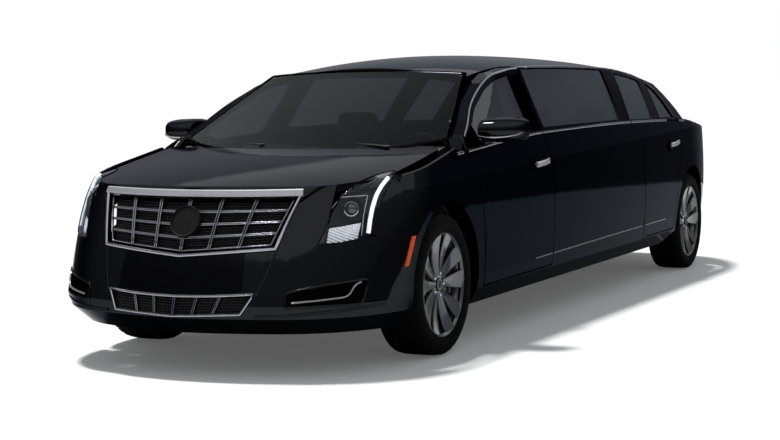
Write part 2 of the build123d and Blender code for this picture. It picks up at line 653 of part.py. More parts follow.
# ---------------------------------------------------------------- body sides
CENTRE_WINDOW = fore_points([(-2300, 1112), (-1556, 1100), (-1648, 1440), (-2400, 1452)])
CENTRE_WINDOW += tail_points([(1469, 1450), (1575, 1122)])
QUARTER_WINDOW = tail_points([(539, 1124), (481, 1366), (329, 1314), (227, 1232), (163, 1160), (119, 1120)])
BEHIND_DOOR = tail(275)
window_cuts = [side_prism(CENTRE_WINDOW), side_prism(QUARTER_WINDOW)]
WALL_END = BEHIND_DOOR - 20
wall_zone = side_prism([(fore(-494), 150), (fore(-494), 1120), (WALL_END, 1120), (WALL_END, 150)])
wall_zone = without(without(only(wall_zone, BELOW_BELT), *door_apertures), *ARCHES)
cabin_wall = without(only(sheet(BODY, 0, WALL), wall_zone), door_swings[1])
quarter_zone = side_prism([(BEHIND_DOOR, 150), (BEHIND_DOOR, 1200), (tail(-1400), 1200),
                           (tail(-1400), 150)])
quarter_zone = without(quarter_zone, REAR_BUMPER_ZONE, side_prism(tail_points(
    [(-400, 150), (-400, 640), (-1400, 690), (-1400, 150)])), side_prism(QUARTER_WINDOW))
quarter_zone = without(without(quarter_zone, door_apertures[1], ARCHES[1]), LAMP_ZONE,
                       plan_prism(grown(LID_ALL, PANEL_GAP / 2), BUMPER_TOP, 1200))
quarter = only(tail_shell, quarter_zone)
post_zone = side_prism(fore_points([(-494, 210), (-494, 985), (-300, 985), (-300, 210)]))
hinge_post = only(lower_inner, without(without(post_zone, door_apertures[0]), ARCHES[0]))
# a tab that carries the rear edge of the front wing
tab_block = box(fore(-334), fore(-302), 860, 940, 620, 930)
wing_tab = only(BODY[SKIN].moved(Location((0, -SEAT_GAP, 0))), tab_block)
upper_zone = BELT + [(tail(-485), 1060), (tail(-485), 1700), (fore(-50), 1700), (fore(-50), 1000),
                     (fore(-254), 990)]
upper_block = without(only(LEFT_HALF, side_prism(upper_zone, 0)), *door_apertures, *window_cuts)
upper_block = without(upper_block, plan_prism(grown(ROOF_PLAN, SEAT_GAP / 2), 1100, 1600),
                      plan_prism(SCREEN_PLAN, 900, 1600), plan_prism(BACKLIGHT_PLAN, 900, 1600))
upper = only(house_sheet, upper_block)
upper = without(upper, without(box(tail(-900), tail(55), 0, 1000, 900, 1300), SKY_DECK))
front_swing = only(swing_space(DOORS[0], 32), box(fore(DOORS[0].hinge_x), FRONT_X, 0, 1150, 100, 1200))
front_post = without(box(fore(-530), fore(-446), 742, 818, FLOOR_TOP + SEAT_GAP, 905), front_swing)
rear_post = without(box(tail(1185), tail(1285), 742, 822, FLOOR_TOP + SEAT_GAP, 905), door_swings[1])
hinge_post = without(hinge_post, front_swing)
side = joined(cabin_wall, quarter, upper, hinge_post, wing_tab, front_post, rear_post)
hinge_straps = []
for door in DOORS:
    for along in HINGE_PLACES:
        gap = HINGE_HEIGHT / 2 + RUNNING_CLEARANCE
        for start, end in ((along - gap - 9, along - gap), (along + gap, along + gap + 9)):
            hinge_straps.append(hinge_bar(door, start, end, -8, 8, -136, 0))
        hinge_straps.append(hinge_drum(door, along - gap - 9, along + gap + 9, HINGE_PIN))
side_panel_left = named("side_panel_left", largest(joined(side, *hinge_straps)))
side_panel_right = named("side_panel_right", right_of(side_panel_left))
openings = (CENTRE_WINDOW, QUARTER_WINDOW)
glazing = [largest(only(glass_sheet, side_prism(grown(outline, -SEAT_GAP)))) for outline in openings]
side_windows = named("side_windows", both(joined(*glazing)))

# ---------------------------------------------------------------- floor pan, firewall and inner body
FLOOR_HALF = HALF_WIDTH - 62 - WALL - SEAT_GAP
FLOOR_Z = (FLOOR_TOP - 30, FLOOR_TOP)
CABIN_FRONT = -494
CABIN_REAR = tail(275)
NARROW_FROM = tail(450)  # the cabin floor runs between the rear wheel houses behind here
JACK_PAD_Z = 206
BOOT_FLOOR_Z = (462, 478)
RAIL_END = tail(-1040)
TUNNEL_HALF = 130
TUNNEL_TOP = 365
TUNNEL_END = tail(930)
RAIL_Y = (385, 462)
HOUSE_Y = (458, 800)


def wheel_house(x, y0, y1):
    """Inner wing over a wheel: half a drum with a wall on its inner side."""
    with BuildPart() as house:
        with BuildSketch(Plane(origin=(x, y0, AXLE_HEIGHT), x_dir=(1, 0, 0), z_dir=(0, 1, 0))):
            Circle(WELL_RADIUS + 12)
            Circle(WELL_RADIUS, mode=Mode.SUBTRACT)
        extrude(amount=y1 - y0)
        with BuildSketch(Plane(origin=(x, y0, AXLE_HEIGHT), x_dir=(1, 0, 0), z_dir=(0, 1, 0))):
            Circle(WELL_RADIUS + 12)
        extrude(amount=12)
        with Locations((x, (y0 + y1) / 2, AXLE_HEIGHT - 300 + 40)):
            Box(1200, 1200, 600, mode=Mode.SUBTRACT)
        with Locations((x, y0, AXLE_HEIGHT + 95)):
            Box(230, 60, 260, mode=Mode.SUBTRACT)
    return house.part


with BuildPart() as pan:
    add(box(NARROW_FROM, fore(CABIN_FRONT), -FLOOR_HALF, FLOOR_HALF, *FLOOR_Z))
    add(box(CABIN_REAR, NARROW_FROM, -HOUSE_Y[0], HOUSE_Y[0], *FLOOR_Z))
    add(box(TUNNEL_END, fore(CABIN_FRONT), -TUNNEL_HALF, TUNNEL_HALF, FLOOR_Z[1], TUNNEL_TOP))
    add(box(TUNNEL_END + 25, fore(CABIN_FRONT) + 20, 25 - TUNNEL_HALF, TUNNEL_HALF - 25, FLOOR_Z[0] - 1,
            TUNNEL_TOP - 25), mode=Mode.SUBTRACT)
inner_parts = [pan.part]
# firewall and the two chassis rails each side of the engine bay, joined by the front cross member
inner_parts.append(box(fore(CABIN_FRONT), fore(CABIN_FRONT) + 24, -700, 700, FLOOR_Z[0], 905))
for hand in (1, -1):
    y0, y1 = sorted((hand * RAIL_Y[0], hand * RAIL_Y[1]))
    inner_parts.append(box(fore(CABIN_FRONT), fore(900), y0, y1, 330, 420))
    inner_parts.append(box(RAIL_END, CABIN_REAR, y0, y1, 400, BOOT_FLOOR_Z[0]))
inner_parts.append(box(fore(850), fore(900), -RAIL_Y[1], RAIL_Y[1], 330, 560))
# boot floor, seat bulkhead and rear panel
inner_parts.append(box(RAIL_END, CABIN_REAR, -RAIL_Y[1], RAIL_Y[1], *BOOT_FLOOR_Z))
boot_step = box(CABIN_REAR - 12, CABIN_REAR + 8, -HOUSE_Y[0], HOUSE_Y[0], FLOOR_Z[0], BOOT_FLOOR_Z[1])
inner_parts.append(boot_step)
for x in (fore(0), tail(0)):
    left_house = wheel_house(x, *HOUSE_Y)
    inner_parts.append(left_house)
    inner_parts.append(right_of(left_house))
for x in (fore(-620), tail(520)):
    for hand in (1, -1):
        inner_parts.append(box(x - 40, x + 40, hand * 700 - 30, hand * 700 + 30, JACK_PAD_Z, FLOOR_TOP))
inner = joined(*inner_parts)
floor_pan = named("floor_pan", largest(inner))

# ------------------------------------------------------------ cowl under the windscreen, with bonnet hinges
COWL_EDGE = [(x - PANEL_GAP, y) for x, y in ((-40, 0), (-62, 250), (-130, 500), (-214, 770))]
COWL_PLAN = mirrored_plan(COWL_EDGE + [(-330, 770), (-330, 0)], fore)
cowl = both(without(only(plan_prism(COWL_PLAN, 880, 1100), UNDER_COWL), OVER_COWL))
cowl_parts = [cowl, box(fore(CABIN_FRONT), fore(CABIN_FRONT) + 24, -690, 690, 905 + SEAT_GAP, 1000),
              box(fore(CABIN_FRONT), fore(-320), -690, 690, 985, 1000)]
for y in (BONNET_ARM_Y, -BONNET_ARM_Y):
    gap = 6 + RUNNING_CLEARANCE
    for side_y in (y - gap - 8, y + gap):
        cowl_parts.append(box(fore(-330), fore(-248), side_y, side_y + 8, 960, 1006))
    with BuildPart() as pin:
        with Locations(Location((fore(BONNET_AXIS[0]), y, BONNET_AXIS[1]), (90, 0, 0))):
            Cylinder(HINGE_PIN, 2 * (gap + 8))
    cowl_parts.append(pin.part)
cowl_whole = joined(*cowl_parts)
for y in (BONNET_ARM_Y, -BONNET_ARM_Y):
    slot = box(fore(-290), fore(-60), y - 6 - 5, y + 6 + 5, 940, 1100)
    with BuildPart() as keep:
        with Locations(Location((fore(BONNET_AXIS[0]), y, BONNET_AXIS[1]), (90, 0, 0))):
            Cylinder(HINGE_PIN, 2 * (6 + RUNNING_CLEARANCE + 8))
        for side_y in (y - 6 - RUNNING_CLEARANCE - 8, y + 6 + RUNNING_CLEARANCE):
            add(box(fore(-330), fore(-248), side_y, side_y + 8, 960, 1006))
    cowl_whole = joined(without(cowl_whole, slot), keep.part)
cowl_panel = named("cowl_panel", largest(cowl_whole))

# ------------------------------------------------------------ shelf behind the rear seats, with boot hinges
SHELF_PLAN = [(40, 0), (40, 580), (-296, 580), (-300, 540), (-380, 530), (-412, 470), (-438, 250),
              (-446, 0)]
shelf_zone = plan_prism(mirrored_plan(SHELF_PLAN, tail), 900, 1200)
shelf_parts = [both(without(only(shelf_zone, UNDER_SHELF), OVER_SHELF))]
for y in (LID_ARM_Y, -LID_ARM_Y):
    gap = 6 + RUNNING_CLEARANCE
    for side_y in (y - gap - 8, y + gap):
        shelf_parts.append(box(tail(-358), tail(-270), side_y, side_y + 8, 1040, 1078))
    with BuildPart() as pin:
        with Locations(Location((tail(LID_AXIS[0]), y, LID_AXIS[1]), (90, 0, 0))):
            Cylinder(HINGE_PIN, 2 * (gap + 8))
    shelf_parts.append(pin.part)
rear_shelf = named("rear_shelf", largest(joined(*shelf_parts)))

# ---------------------------------------------------------------- engine and exhaust
CROSS_MEMBER_Z = (232, 290)
engine = named("engine", joined(box(fore(-330), fore(560), -270, 270, CROSS_MEMBER_Z[1] + SEAT_GAP, 800),
                                box(fore(-440), fore(-330), -95, 95, 300, 400)))

SILENCER_Y = 285
SILENCER_Z = 300
with BuildPart() as exhaust:
    for hand in (1, -1):
        with Locations(Location((tail(-640), hand * SILENCER_Y, SILENCER_Z), (0, 90, 0))):
            Cylinder(88, 420)
        with Locations(Location((tail(-950), hand * SILENCER_Y, SILENCER_Z), (0, 90, 0))):
            Cylinder(34, 230)
        y0, y1 = sorted((hand * 340, hand * 400))
        add(box(tail(-660), tail(-620), y0, y1, 330, BOOT_FLOOR_Z[0] - 62 - SEAT_GAP))
    with Locations(Location((tail(-640), 0, SILENCER_Z), (90, 0, 0))):
        Cylinder(30, 500)
exhaust_piece = named("exhaust", exhaust.part)

# ------------------------------------------------------------ wheels, built on the Y axis and set in place
TYRE_SECTION = [(RIM_RADIUS + SEAT_GAP, 0.42), (FLANGE_RADIUS + 6, 0.47), (305, 0.5), (335, 0.47),
                (TYRE_RADIUS - 2, 0.38), (TYRE_RADIUS, 0.30)]
SPOKES = 10
DISC_RADIUS = 172


def tyre():
    half = TYRE_WIDTH
    outer = [(y * half, r) for r, y in TYRE_SECTION]
    with BuildPart() as ring:
        with BuildSketch(Plane.YZ):
            with BuildLine():
                Polyline(*outer, *[(-y, r) for y, r in reversed(outer)], close=True)
            make_face()
        revolve(axis=Axis.Y)
    return ring.part


def rim_piece():
    barrel = TYRE_WIDTH * 0.42
    with BuildPart() as spoke:
        with BuildSketch(Plane.YZ):
            with BuildLine():
                Polyline((66, 60), (FLANGE_OUTSIDE - 30, 233), (FLANGE_OUTSIDE - 4, 233), (94, 60),
                         close=True)
            make_face()
        extrude(amount=20, both=True)
    with BuildPart() as wheel:
        with BuildSketch(Plane.YZ):
            with BuildLine():
                Polyline((-barrel, RIM_RADIUS), (-barrel, RIM_RADIUS - 14), (barrel - 2, RIM_RADIUS - 14),
                         (FLANGE_OUTSIDE, FLANGE_RADIUS - 30), (FLANGE_OUTSIDE, RIM_RADIUS), close=True)
            make_face()
            with BuildLine():
                Polyline((62, HUB_BORE), (62, 84), (90, 88), (98, 70), (98, HUB_BORE), close=True)
            make_face()
        revolve(axis=Axis.Y)
        for index in range(SPOKES):
            add(spoke.part.rotate(Axis.Y, 360 / SPOKES * index))
    return wheel.part


tyre_shape = tyre()
rim_shape = rim_piece()
with BuildPart() as disc:
    with BuildSketch(Plane(origin=(0, 30, 0), x_dir=(1, 0, 0), z_dir=(0, 1, 0))):
        Circle(DISC_RADIUS)
        Circle(HUB_BORE, mode=Mode.SUBTRACT)
    extrude(amount=26)
    with BuildSketch(Plane(origin=(0, 50, 0), x_dir=(1, 0, 0), z_dir=(0, 1, 0))):
        Circle(70)
        Circle(HUB_BORE, mode=Mode.SUBTRACT)
    extrude(amount=16)
rim_shape = joined(rim_shape, disc.part)
for end, x in (("front", fore(0)), ("rear", tail(0))):
    for side_name, turn, hand in (("left", 0, 1), ("right", 180, -1)):
        place = Location((x, hand * HALF_TRACK, AXLE_HEIGHT), (0, 0, turn))
        named(f"{end}_tyre_{side_name}", tyre_shape.moved(place))
        named(f"{end}_rim_{side_name}", rim_shape.moved(place))

# ---------------------------------------------------------------- knuckles and axles
SPINDLE = HUB_BORE - RUNNING_CLEARANCE

with BuildPart() as knuckle:
    add(wheel_cylinder(fore(0), 62, STEER_AXIS_Y - 25, HALF_TRACK + 14))
    add(box(fore(-24), fore(24), STEER_AXIS_Y - 24, STEER_AXIS_Y + 24, 218, 500))
    add(box(fore(-150), fore(-10), STEER_AXIS_Y - 14, STEER_AXIS_Y + 14, 300, 330))
    add(box(fore(-190), fore(-95), STEER_AXIS_Y + 2, HALF_TRACK + 62, 290, 420))
    add(wheel_cylinder(fore(0), DISC_RADIUS + 5, HALF_TRACK + 24, HALF_TRACK + 62), mode=Mode.SUBTRACT)
    add(box(fore(-96), fore(-24), STEER_AXIS_Y, STEER_AXIS_Y + 20, 320, 380))
    add(wheel_cylinder(fore(0), SPINDLE, STEER_AXIS_Y - 25, HALF_TRACK + 86))
knuckle_left = named("knuckle_left", knuckle.part)
knuckle_right = named("knuckle_right", right_of(knuckle_left))

ARM_TOP = 218 - RUNNING_CLEARANCE
UPPER_ARM = 500 + RUNNING_CLEARANCE
STRUT_Y = 530
with BuildPart() as front_axle:
    add(box(fore(-110), fore(110), -RAIL_Y[1] + 20, RAIL_Y[1] - 20, *CROSS_MEMBER_Z))
    for hand in (1, -1):
        for low, high, y_in, y_out, half in (
                (190, ARM_TOP, 400, STEER_AXIS_Y + 20, 45), (190, 250, 400, RAIL_Y[1] - 20, 45),
                (UPPER_ARM, UPPER_ARM + 22, 400, STEER_AXIS_Y + 20, 40),
                (420 + SEAT_GAP, UPPER_ARM + 5, 400, 450, 40),
                (735, 755, RAIL_Y[1] + 8 + SEAT_GAP, STRUT_Y + 60, 60)):
            y0, y1 = sorted((hand * y_in, hand * y_out))
            add(box(fore(-half), fore(half), y0, y1, low, high))
        with Locations((fore(0), hand * STRUT_Y, 470)):
            Cylinder(24, 540)
        with Locations((fore(0), hand * STRUT_Y, 630)):
            Cylinder(46, 210)
front_suspension = named("front_suspension", front_axle.part)

RAIL_BOTTOM = 400
with BuildPart() as rear_axle_build:
    add(box(tail(-60), tail(60), -HALF_TRACK + 110, HALF_TRACK - 110, 290, 326))
    add(wheel_cylinder(tail(0), 105, -110, 110))
    for hand in (1, -1):
        y0, y1 = sorted((hand * (HALF_TRACK - 120), hand * (HALF_TRACK + 86)))
        add(wheel_cylinder(tail(0), SPINDLE, y0, y1))
        y0, y1 = sorted((hand * (HALF_TRACK - 120), hand * (HALF_TRACK + 14)))
        add(wheel_cylinder(tail(0), 62, y0, y1))
        with Locations((tail(0), hand * 423, (320 + RAIL_BOTTOM - SEAT_GAP) / 2)):
            Cylinder(38, RAIL_BOTTOM - SEAT_GAP - 320)
rear_axle = named("rear_axle", rear_axle_build.part)

# ---------------------------------------------------------------- cabin
dash_outline = [(-494 - SEAT_GAP, 600), (-494 - SEAT_GAP, 984), (-640, 975), (-800, 930), (-830, 860),
                (-760, 700), (-620, 600)]
with BuildPart() as dash:
    add(side_prism(fore_points(dash_outline), -660, 660))
    add(box(fore(-1000), fore(-494) - SEAT_GAP, -TUNNEL_HALF, TUNNEL_HALF, TUNNEL_TOP + SEAT_GAP, 600))
dashboard = named("dashboard", dash.part)
WHEEL_X, WHEEL_Y, WHEEL_Z = -985, 385, 905
with BuildPart() as steering:
    with Locations(Location((fore(WHEEL_X), WHEEL_Y, WHEEL_Z), (0, -65, 0))):
        Torus(178, 15)
        Cylinder(62, 40)
        Box(24, 350, 14)
        with Locations((0, 0, -95)):
            Cylinder(30, 170)
    add(dash.part.moved(Location((-SEAT_GAP, 0, 0))), mode=Mode.SUBTRACT)
steering_wheel = named("steering_wheel", largest(steering.part))


def seat(x, y, width, back_top, place=fore):
    """One seat: cushion, leaning backrest and head restraint, from the front edge of its cushion at x."""
    cushion = side_prism([(place(x), 300), (place(x), 470), (place(x - 500), 430), (place(x - 500), 300)],
                         y - width / 2, y + width / 2)
    back = side_prism([(place(x - 440), 400), (place(x - 600), back_top), (place(x - 700), back_top),
                       (place(x - 590), 360)], y - width / 2, y + width / 2)
    head = side_prism([(place(x - 600), back_top - 10), (place(x - 615), back_top + 175),
                       (place(x - 700), back_top + 175), (place(x - 700), back_top - 10)], y - 125, y + 125)
    base = side_prism([(place(x - 60), FLOOR_Z[1] + SEAT_GAP), (place(x - 60), 310), (place(x - 460), 310),
                       (place(x - 460), FLOOR_Z[1] + SEAT_GAP)], y - width / 2 + 40, y + width / 2 - 40)
    return joined(cushion, back, head, base)


front_seat_left = seat(-1050, 400, 520, 1000)
front_seats = named("front_seats", joined(front_seat_left, right_of(front_seat_left)))
rear_places = [seat(900, y, 440, 1000, tail) for y in (226, -226)]
rear_seats = named("rear_seats", joined(*rear_places))

# ---------------------------------------------------------------- door mirrors
MIRROR_SIDE = fore_points([(-640, 1058), (-560, 1110), (-560, 1180), (-650, 1212), (-800, 1200),
                           (-800, 1075)])
with BuildPart() as mirror_build:
    add(side_prism(MIRROR_SIDE, 905, 1075))
    add(box(fore(-660), fore(-500), 780, 930, 1062, 1096))
    add(box(fore(-560), fore(-480), 780, 930, 1040, 1096))
flush = Location((0, SEAT_GAP, 0))
mirror_shape = without(mirror_build.part, BODY[0].moved(flush), HOUSE[0].moved(flush))
door_mirror_left = named("door_mirror_left", largest(mirror_shape))
door_mirror_right = named("door_mirror_right", right_of(door_mirror_left))
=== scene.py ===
"""Looks of the stretch limousine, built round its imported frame.

Lengths are in metres in the frame's axes: +X forward, +Y to the car's left, +Z up from the floor. Side view
tables are in millimetres from an axle. Tables of picture places are in pixels of the 780 x 440 picture, and
they are cast through the camera on to the body.
"""
import bpy
import bmesh
import json
import math
import numpy as np
from mathutils import Matrix, Vector
from mathutils.bvhtree import BVHTree

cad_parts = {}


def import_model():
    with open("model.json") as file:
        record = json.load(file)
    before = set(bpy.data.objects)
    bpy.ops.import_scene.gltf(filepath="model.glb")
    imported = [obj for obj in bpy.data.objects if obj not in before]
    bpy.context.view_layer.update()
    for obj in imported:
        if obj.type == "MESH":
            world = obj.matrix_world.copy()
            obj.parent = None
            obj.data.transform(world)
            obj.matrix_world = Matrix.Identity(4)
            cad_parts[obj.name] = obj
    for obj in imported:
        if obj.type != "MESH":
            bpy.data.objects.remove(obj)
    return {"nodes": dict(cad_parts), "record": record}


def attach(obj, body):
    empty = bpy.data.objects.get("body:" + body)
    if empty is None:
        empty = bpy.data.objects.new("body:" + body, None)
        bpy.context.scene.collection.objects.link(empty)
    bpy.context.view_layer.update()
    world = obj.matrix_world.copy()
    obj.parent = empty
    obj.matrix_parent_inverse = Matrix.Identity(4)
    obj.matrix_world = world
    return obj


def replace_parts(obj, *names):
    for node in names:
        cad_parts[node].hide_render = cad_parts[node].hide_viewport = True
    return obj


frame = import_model()
bpy.context.scene.view_settings.view_transform = "Standard"
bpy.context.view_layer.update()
NODES = frame["nodes"]

LENGTH, FRONT_OVERHANG, WHEELBASE = 6.909, 1.080, 4.615
FRONT_AXLE = LENGTH / 2 - FRONT_OVERHANG
REAR_AXLE = FRONT_AXLE - WHEELBASE
AXLE_HEIGHT = 0.3515
HALF_TRACK = 0.788
Y_AXIS = Vector((0, 1, 0))
AXIS_GAP = 0.0005  # a turned profile stops this short of its axis


def fore(x):
    """Frame X of a place so far forward of the front axle."""
    return FRONT_AXLE + x


def tail(x):
    """Frame X of a place so far forward of the rear axle."""
    return REAR_AXLE + x


# ------------------------------------------------------------------ camera
PICTURE_WIDTH, PICTURE_MIDDLE = 780, (390, 220)
FOCAL = 1698.7932  # pixels
CAMERA_AHEAD, CAMERA_LEFT, CAMERA_HEIGHT = 7.6769, 4.1774, 1.2636  # ahead of the front axle
YAW, PITCH, ROLL = 3.5771, -0.0705, -0.0097
SENSOR, VIEW_LIMIT = 36, 200  # millimetres, metres


def make_camera():
    look = Vector((math.cos(PITCH) * math.cos(YAW), math.cos(PITCH) * math.sin(YAW), math.sin(PITCH)))
    level = look.cross(Vector((0, 0, 1))).normalized()
    upright = level.cross(look)
    right = level * math.cos(ROLL) + upright * math.sin(ROLL)
    up = -level * math.sin(ROLL) + upright * math.cos(ROLL)
    made = bpy.data.objects.new("camera", bpy.data.cameras.new("camera"))
    bpy.context.scene.collection.objects.link(made)
    made.data.sensor_width = SENSOR
    made.data.lens = FOCAL * SENSOR / PICTURE_WIDTH
    made.data.clip_end = VIEW_LIMIT
    turn = Matrix((right, up, -look)).transposed().to_4x4()
    turn.translation = Vector((CAMERA_AHEAD + FRONT_AXLE, CAMERA_LEFT, CAMERA_HEIGHT))
    made.matrix_world = turn
    bpy.context.scene.camera = made
    return made


camera = make_camera()
EYE = camera.matrix_world.translation.copy()


# ------------------------------------------------------------------ materials
class Nodes:
    """Adds shader nodes to a tree. An input is set to a value, or joined to another node's output."""

    def __init__(self, owner):
        owner.use_nodes = True
        self.tree = owner.node_tree
        self.tree.nodes.clear()

    def add(self, kind, inputs=None, **settings):
        made = self.tree.nodes.new(f"ShaderNode{kind}")
        for key, value in settings.items():
            setattr(made, key, value)
        for key, value in (inputs or {}).items():
            if isinstance(value, bpy.types.NodeSocket):
                self.tree.links.new(value, made.inputs[key])
            else:
                made.inputs[key].default_value = value
        return made.outputs

    def noise(self, scale, detail):
        place = self.add("TexCoord")["Object"]
        return self.add("TexNoise", {"Vector": place, "Scale": scale, "Detail": detail})["Fac"]

    def ramp(self, factor, stops):
        """Colour that changes with a factor, from (position, colour) stops."""
        made = self.tree.nodes.new("ShaderNodeValToRGB")
        elements = made.color_ramp.elements
        while len(elements) < len(stops):
            elements.new(0.5)
        for element, (position, color) in zip(elements, stops):
            element.position = position
            element.color = (*color, 1)
        self.tree.links.new(factor, made.inputs[0])
        return made.outputs[0]

    def bump(self, height, strength, distance):
        return self.add("Bump", {"Strength": strength, "Distance": distance, "Height": height})[0]


def new_material(name):
    mat = bpy.data.materials.new(name)
    return mat, Nodes(mat)


def scaled(color, factor):
    return tuple(min(1, c * factor) for c in color)


PAINT = (0.020, 0.0203, 0.0218)
PAINT_EDGE = (0.43, 0.435, 0.45, 1)  # tint of its reflection towards a flat angle


def paint():
    """Deep black lacquer that mirrors only a few percent of what is round it."""
    mat, nodes = new_material("black_paint")
    color = nodes.ramp(nodes.noise(900, 1), [(0.35, scaled(PAINT, 0.85)), (0.75, scaled(PAINT, 1.2))])
    normal = nodes.bump(nodes.noise(6, 2), 0.03, 0.002)
    shader = nodes.add("BsdfPrincipled", {"Base Color": color, "Normal": normal, "Metallic": 1.0,
                                          "Roughness": 0.055, "Specular Tint": PAINT_EDGE})[0]
    nodes.add("OutputMaterial", {0: shader})
    return mat


def plain(name, color, rough, metal, grain, vary, relief, more):
    """A surface with fine grain in its colour and its height."""
    mat, nodes = new_material(name)
    noise = nodes.noise(grain, 5)
    shades = [(0.3, scaled(color, 1 - vary)), (0.7, scaled(color, 1 + vary))]
    inputs = {"Base Color": nodes.ramp(noise, shades), "Roughness": rough, "Metallic": metal, **more}
    if relief:
        inputs["Normal"] = nodes.bump(noise, relief, 0.0006)
    shader = nodes.add("BsdfPrincipled", inputs)[0]
    nodes.add("OutputMaterial", {0: shader})
    return mat


def glass(name, tint, ior):
    """Clear tinted pane with a gloss that grows to a flat angle, on faces turned to the viewer only."""
    mat, nodes = new_material(name)
    fresnel = nodes.add("Fresnel", {0: ior})[0]
    back = nodes.add("NewGeometry")["Backfacing"]
    turned_here = nodes.add("Math", {0: 1.0, 1: back}, operation="SUBTRACT")[0]
    share = nodes.add("Math", {0: fresnel, 1: turned_here}, operation="MULTIPLY")[0]
    clear = nodes.add("BsdfTransparent", {0: (*tint, 1)})[0]
    gloss = nodes.add("BsdfGlossy", {0: (0.9, 0.93, 1.0, 1), "Roughness": 0.0})[0]
    pane = nodes.add("MixShader", {0: share, 1: clear, 2: gloss})[0]
    nodes.add("OutputMaterial", {0: pane})
    return mat


PLAIN = {  # colour, roughness, metal, grain scale, grain in the colour, grain in the height, other sockets
    "chrome": ((0.38, 0.385, 0.415), 0.12, 1.0, 30, 0.05, 0.02, {}),
    "lamp_lens": ((0.6, 0.62, 0.66), 0.08, 0.6, 40, 0.1, 0.02, {}),
    "red_lens": ((0.22, 0.008, 0.008), 0.08, 0.0, 40, 0.1, 0.02, {"Coat Weight": 1.0}),
    "black_plastic": ((0.024, 0.024, 0.026), 0.5, 0.0, 300, 0.25, 0.2, {}),
    "steering_trim": ((0.03, 0.03, 0.031), 0.45, 0.0, 400, 0.2, 0.2, {}),
    "seat_leather": ((0.045, 0.044, 0.044), 0.42, 0.0, 260, 0.2, 0.35, {}),
    "chassis_steel": ((0.012, 0.012, 0.012), 0.6, 0.0, 80, 0.3, 0.2, {}),
    "cast_metal": ((0.12, 0.12, 0.125), 0.5, 0.9, 120, 0.2, 0.3, {}),
    "exhaust_steel": ((0.35, 0.34, 0.33), 0.35, 1.0, 60, 0.2, 0.1, {}),
    "tyre_rubber": ((0.0035, 0.0035, 0.0037), 0.80, 0.0, 200, 0.25, 0.25, {"Specular IOR Level": 0.03}),
    "rim_alloy": ((0.058, 0.060, 0.066), 0.34, 0.7, 90, 0.08, 0.05, {"Coat Weight": 0.6}),
    "window_metal": ((0.17, 0.175, 0.20), 0.24, 1.0, 30, 0.05, 0.02, {}),
    # Handle grips: chrome made pale and partly diffuse so that it shows bright: partly real chrome, partly
    # painted highlight.
    "chrome_with_painted_highlight": ((0.80, 0.81, 0.83), 0.20, 0.75, 30, 0.05, 0.01, {}),
    "sill_trim": ((0.035, 0.036, 0.042), 0.30, 1.0, 30, 0.05, 0.02, {}),
    "piano_black": ((0.008, 0.008, 0.0095), 0.10, 1.0, 40, 0.1, 0.01,
        {"Specular Tint": (0.42, 0.42, 0.42, 1)}),
    # Near black with no reflection at all: painted shade. It fills the grille openings, the fog lamp pockets
    # and the cups behind the door handles, where there is only shade.
    "painted_shade_black": ((0.0015, 0.0015, 0.0015), 0.8, 0.0, 60, 0.1, 0.05, {"Specular IOR Level": 0.0}),
    "dark_chrome": ((0.22, 0.22, 0.24), 0.22, 1.0, 40, 0.05, 0.02, {}),
    "brushed_bar": ((0.33, 0.335, 0.36), 0.34, 1.0, 30, 0.04, 0.02, {}),
    "mesh_black": ((0.035, 0.035, 0.038), 0.4, 0.6, 40, 0.1, 0.02, {}),
    "satin_black": ((0.006, 0.006, 0.0065), 0.45, 0.0, 200, 0.2, 0.05, {"Specular IOR Level": 0.12}),
    "amber_lens": ((0.60, 0.075, 0.012), 0.35, 0.0, 60, 0.1, 0.05, {"Specular IOR Level": 0.15}),
    "light_guide": ((0.80, 0.82, 0.86), 0.25, 0.0, 60, 0.05, 0.02,
        {"Emission Color": (0.9, 0.93, 1.0, 1), "Emission Strength": 0.75}),
    # The reflector glows though it gives no light: a painted reflection of the bright inside of the lamp.
    "lamp_reflector_painted_glow": ((0.80, 0.81, 0.83), 0.25, 0.55, 60, 0.05, 0.02,
        {"Emission Color": (0.9, 0.92, 1.0, 1), "Emission Strength": 0.12}),
    "projector_lens": ((0.020, 0.022, 0.026), 0.03, 0.0, 40, 0.05, 0.01, {"Coat Weight": 1.0}),
    "disc_steel": ((0.16, 0.16, 0.165), 0.35, 1.0, 90, 0.1, 0.1, {}),
    "mirror_glass": ((0.75, 0.77, 0.80), 0.02, 1.0, 20, 0.02, 0.0, {}),
    "lamp_red": ((0.45, 0.02, 0.02), 0.15, 0.0, 40, 0.1, 0.02, {"Coat Weight": 1.0}),
}
GLASS = {  # colour let through, index of refraction
    "tinted_glass": ((0.27, 0.272, 0.288), 1.24),
    "screen_glass": ((0.47, 0.48, 0.50), 1.09),
    "clear_lens": ((0.92, 0.94, 0.97), 1.30),
}
MATS = {"black_paint": paint()}
MATS.update({name: plain(name, *row) for name, row in PLAIN.items()})
MATS.update({name: glass(name, *row) for name, row in GLASS.items()})
SLOT_OF = {entry["node"]: entry["material_slot"] for entry in frame["record"]["subparts"]}
for node, obj in NODES.items():
    obj.data.materials.clear()
    obj.data.materials.append(MATS[SLOT_OF[node]])

# ------------------------------------------------------------------ places on the body
BODY_OF = {node: body for body, nodes in frame["record"]["behaviour"]["bodies"].items() for node in nodes}
BESIDE, BEYOND, ABOVE = 1.5, 4.5, 2.2  # where rays start, clear of the body


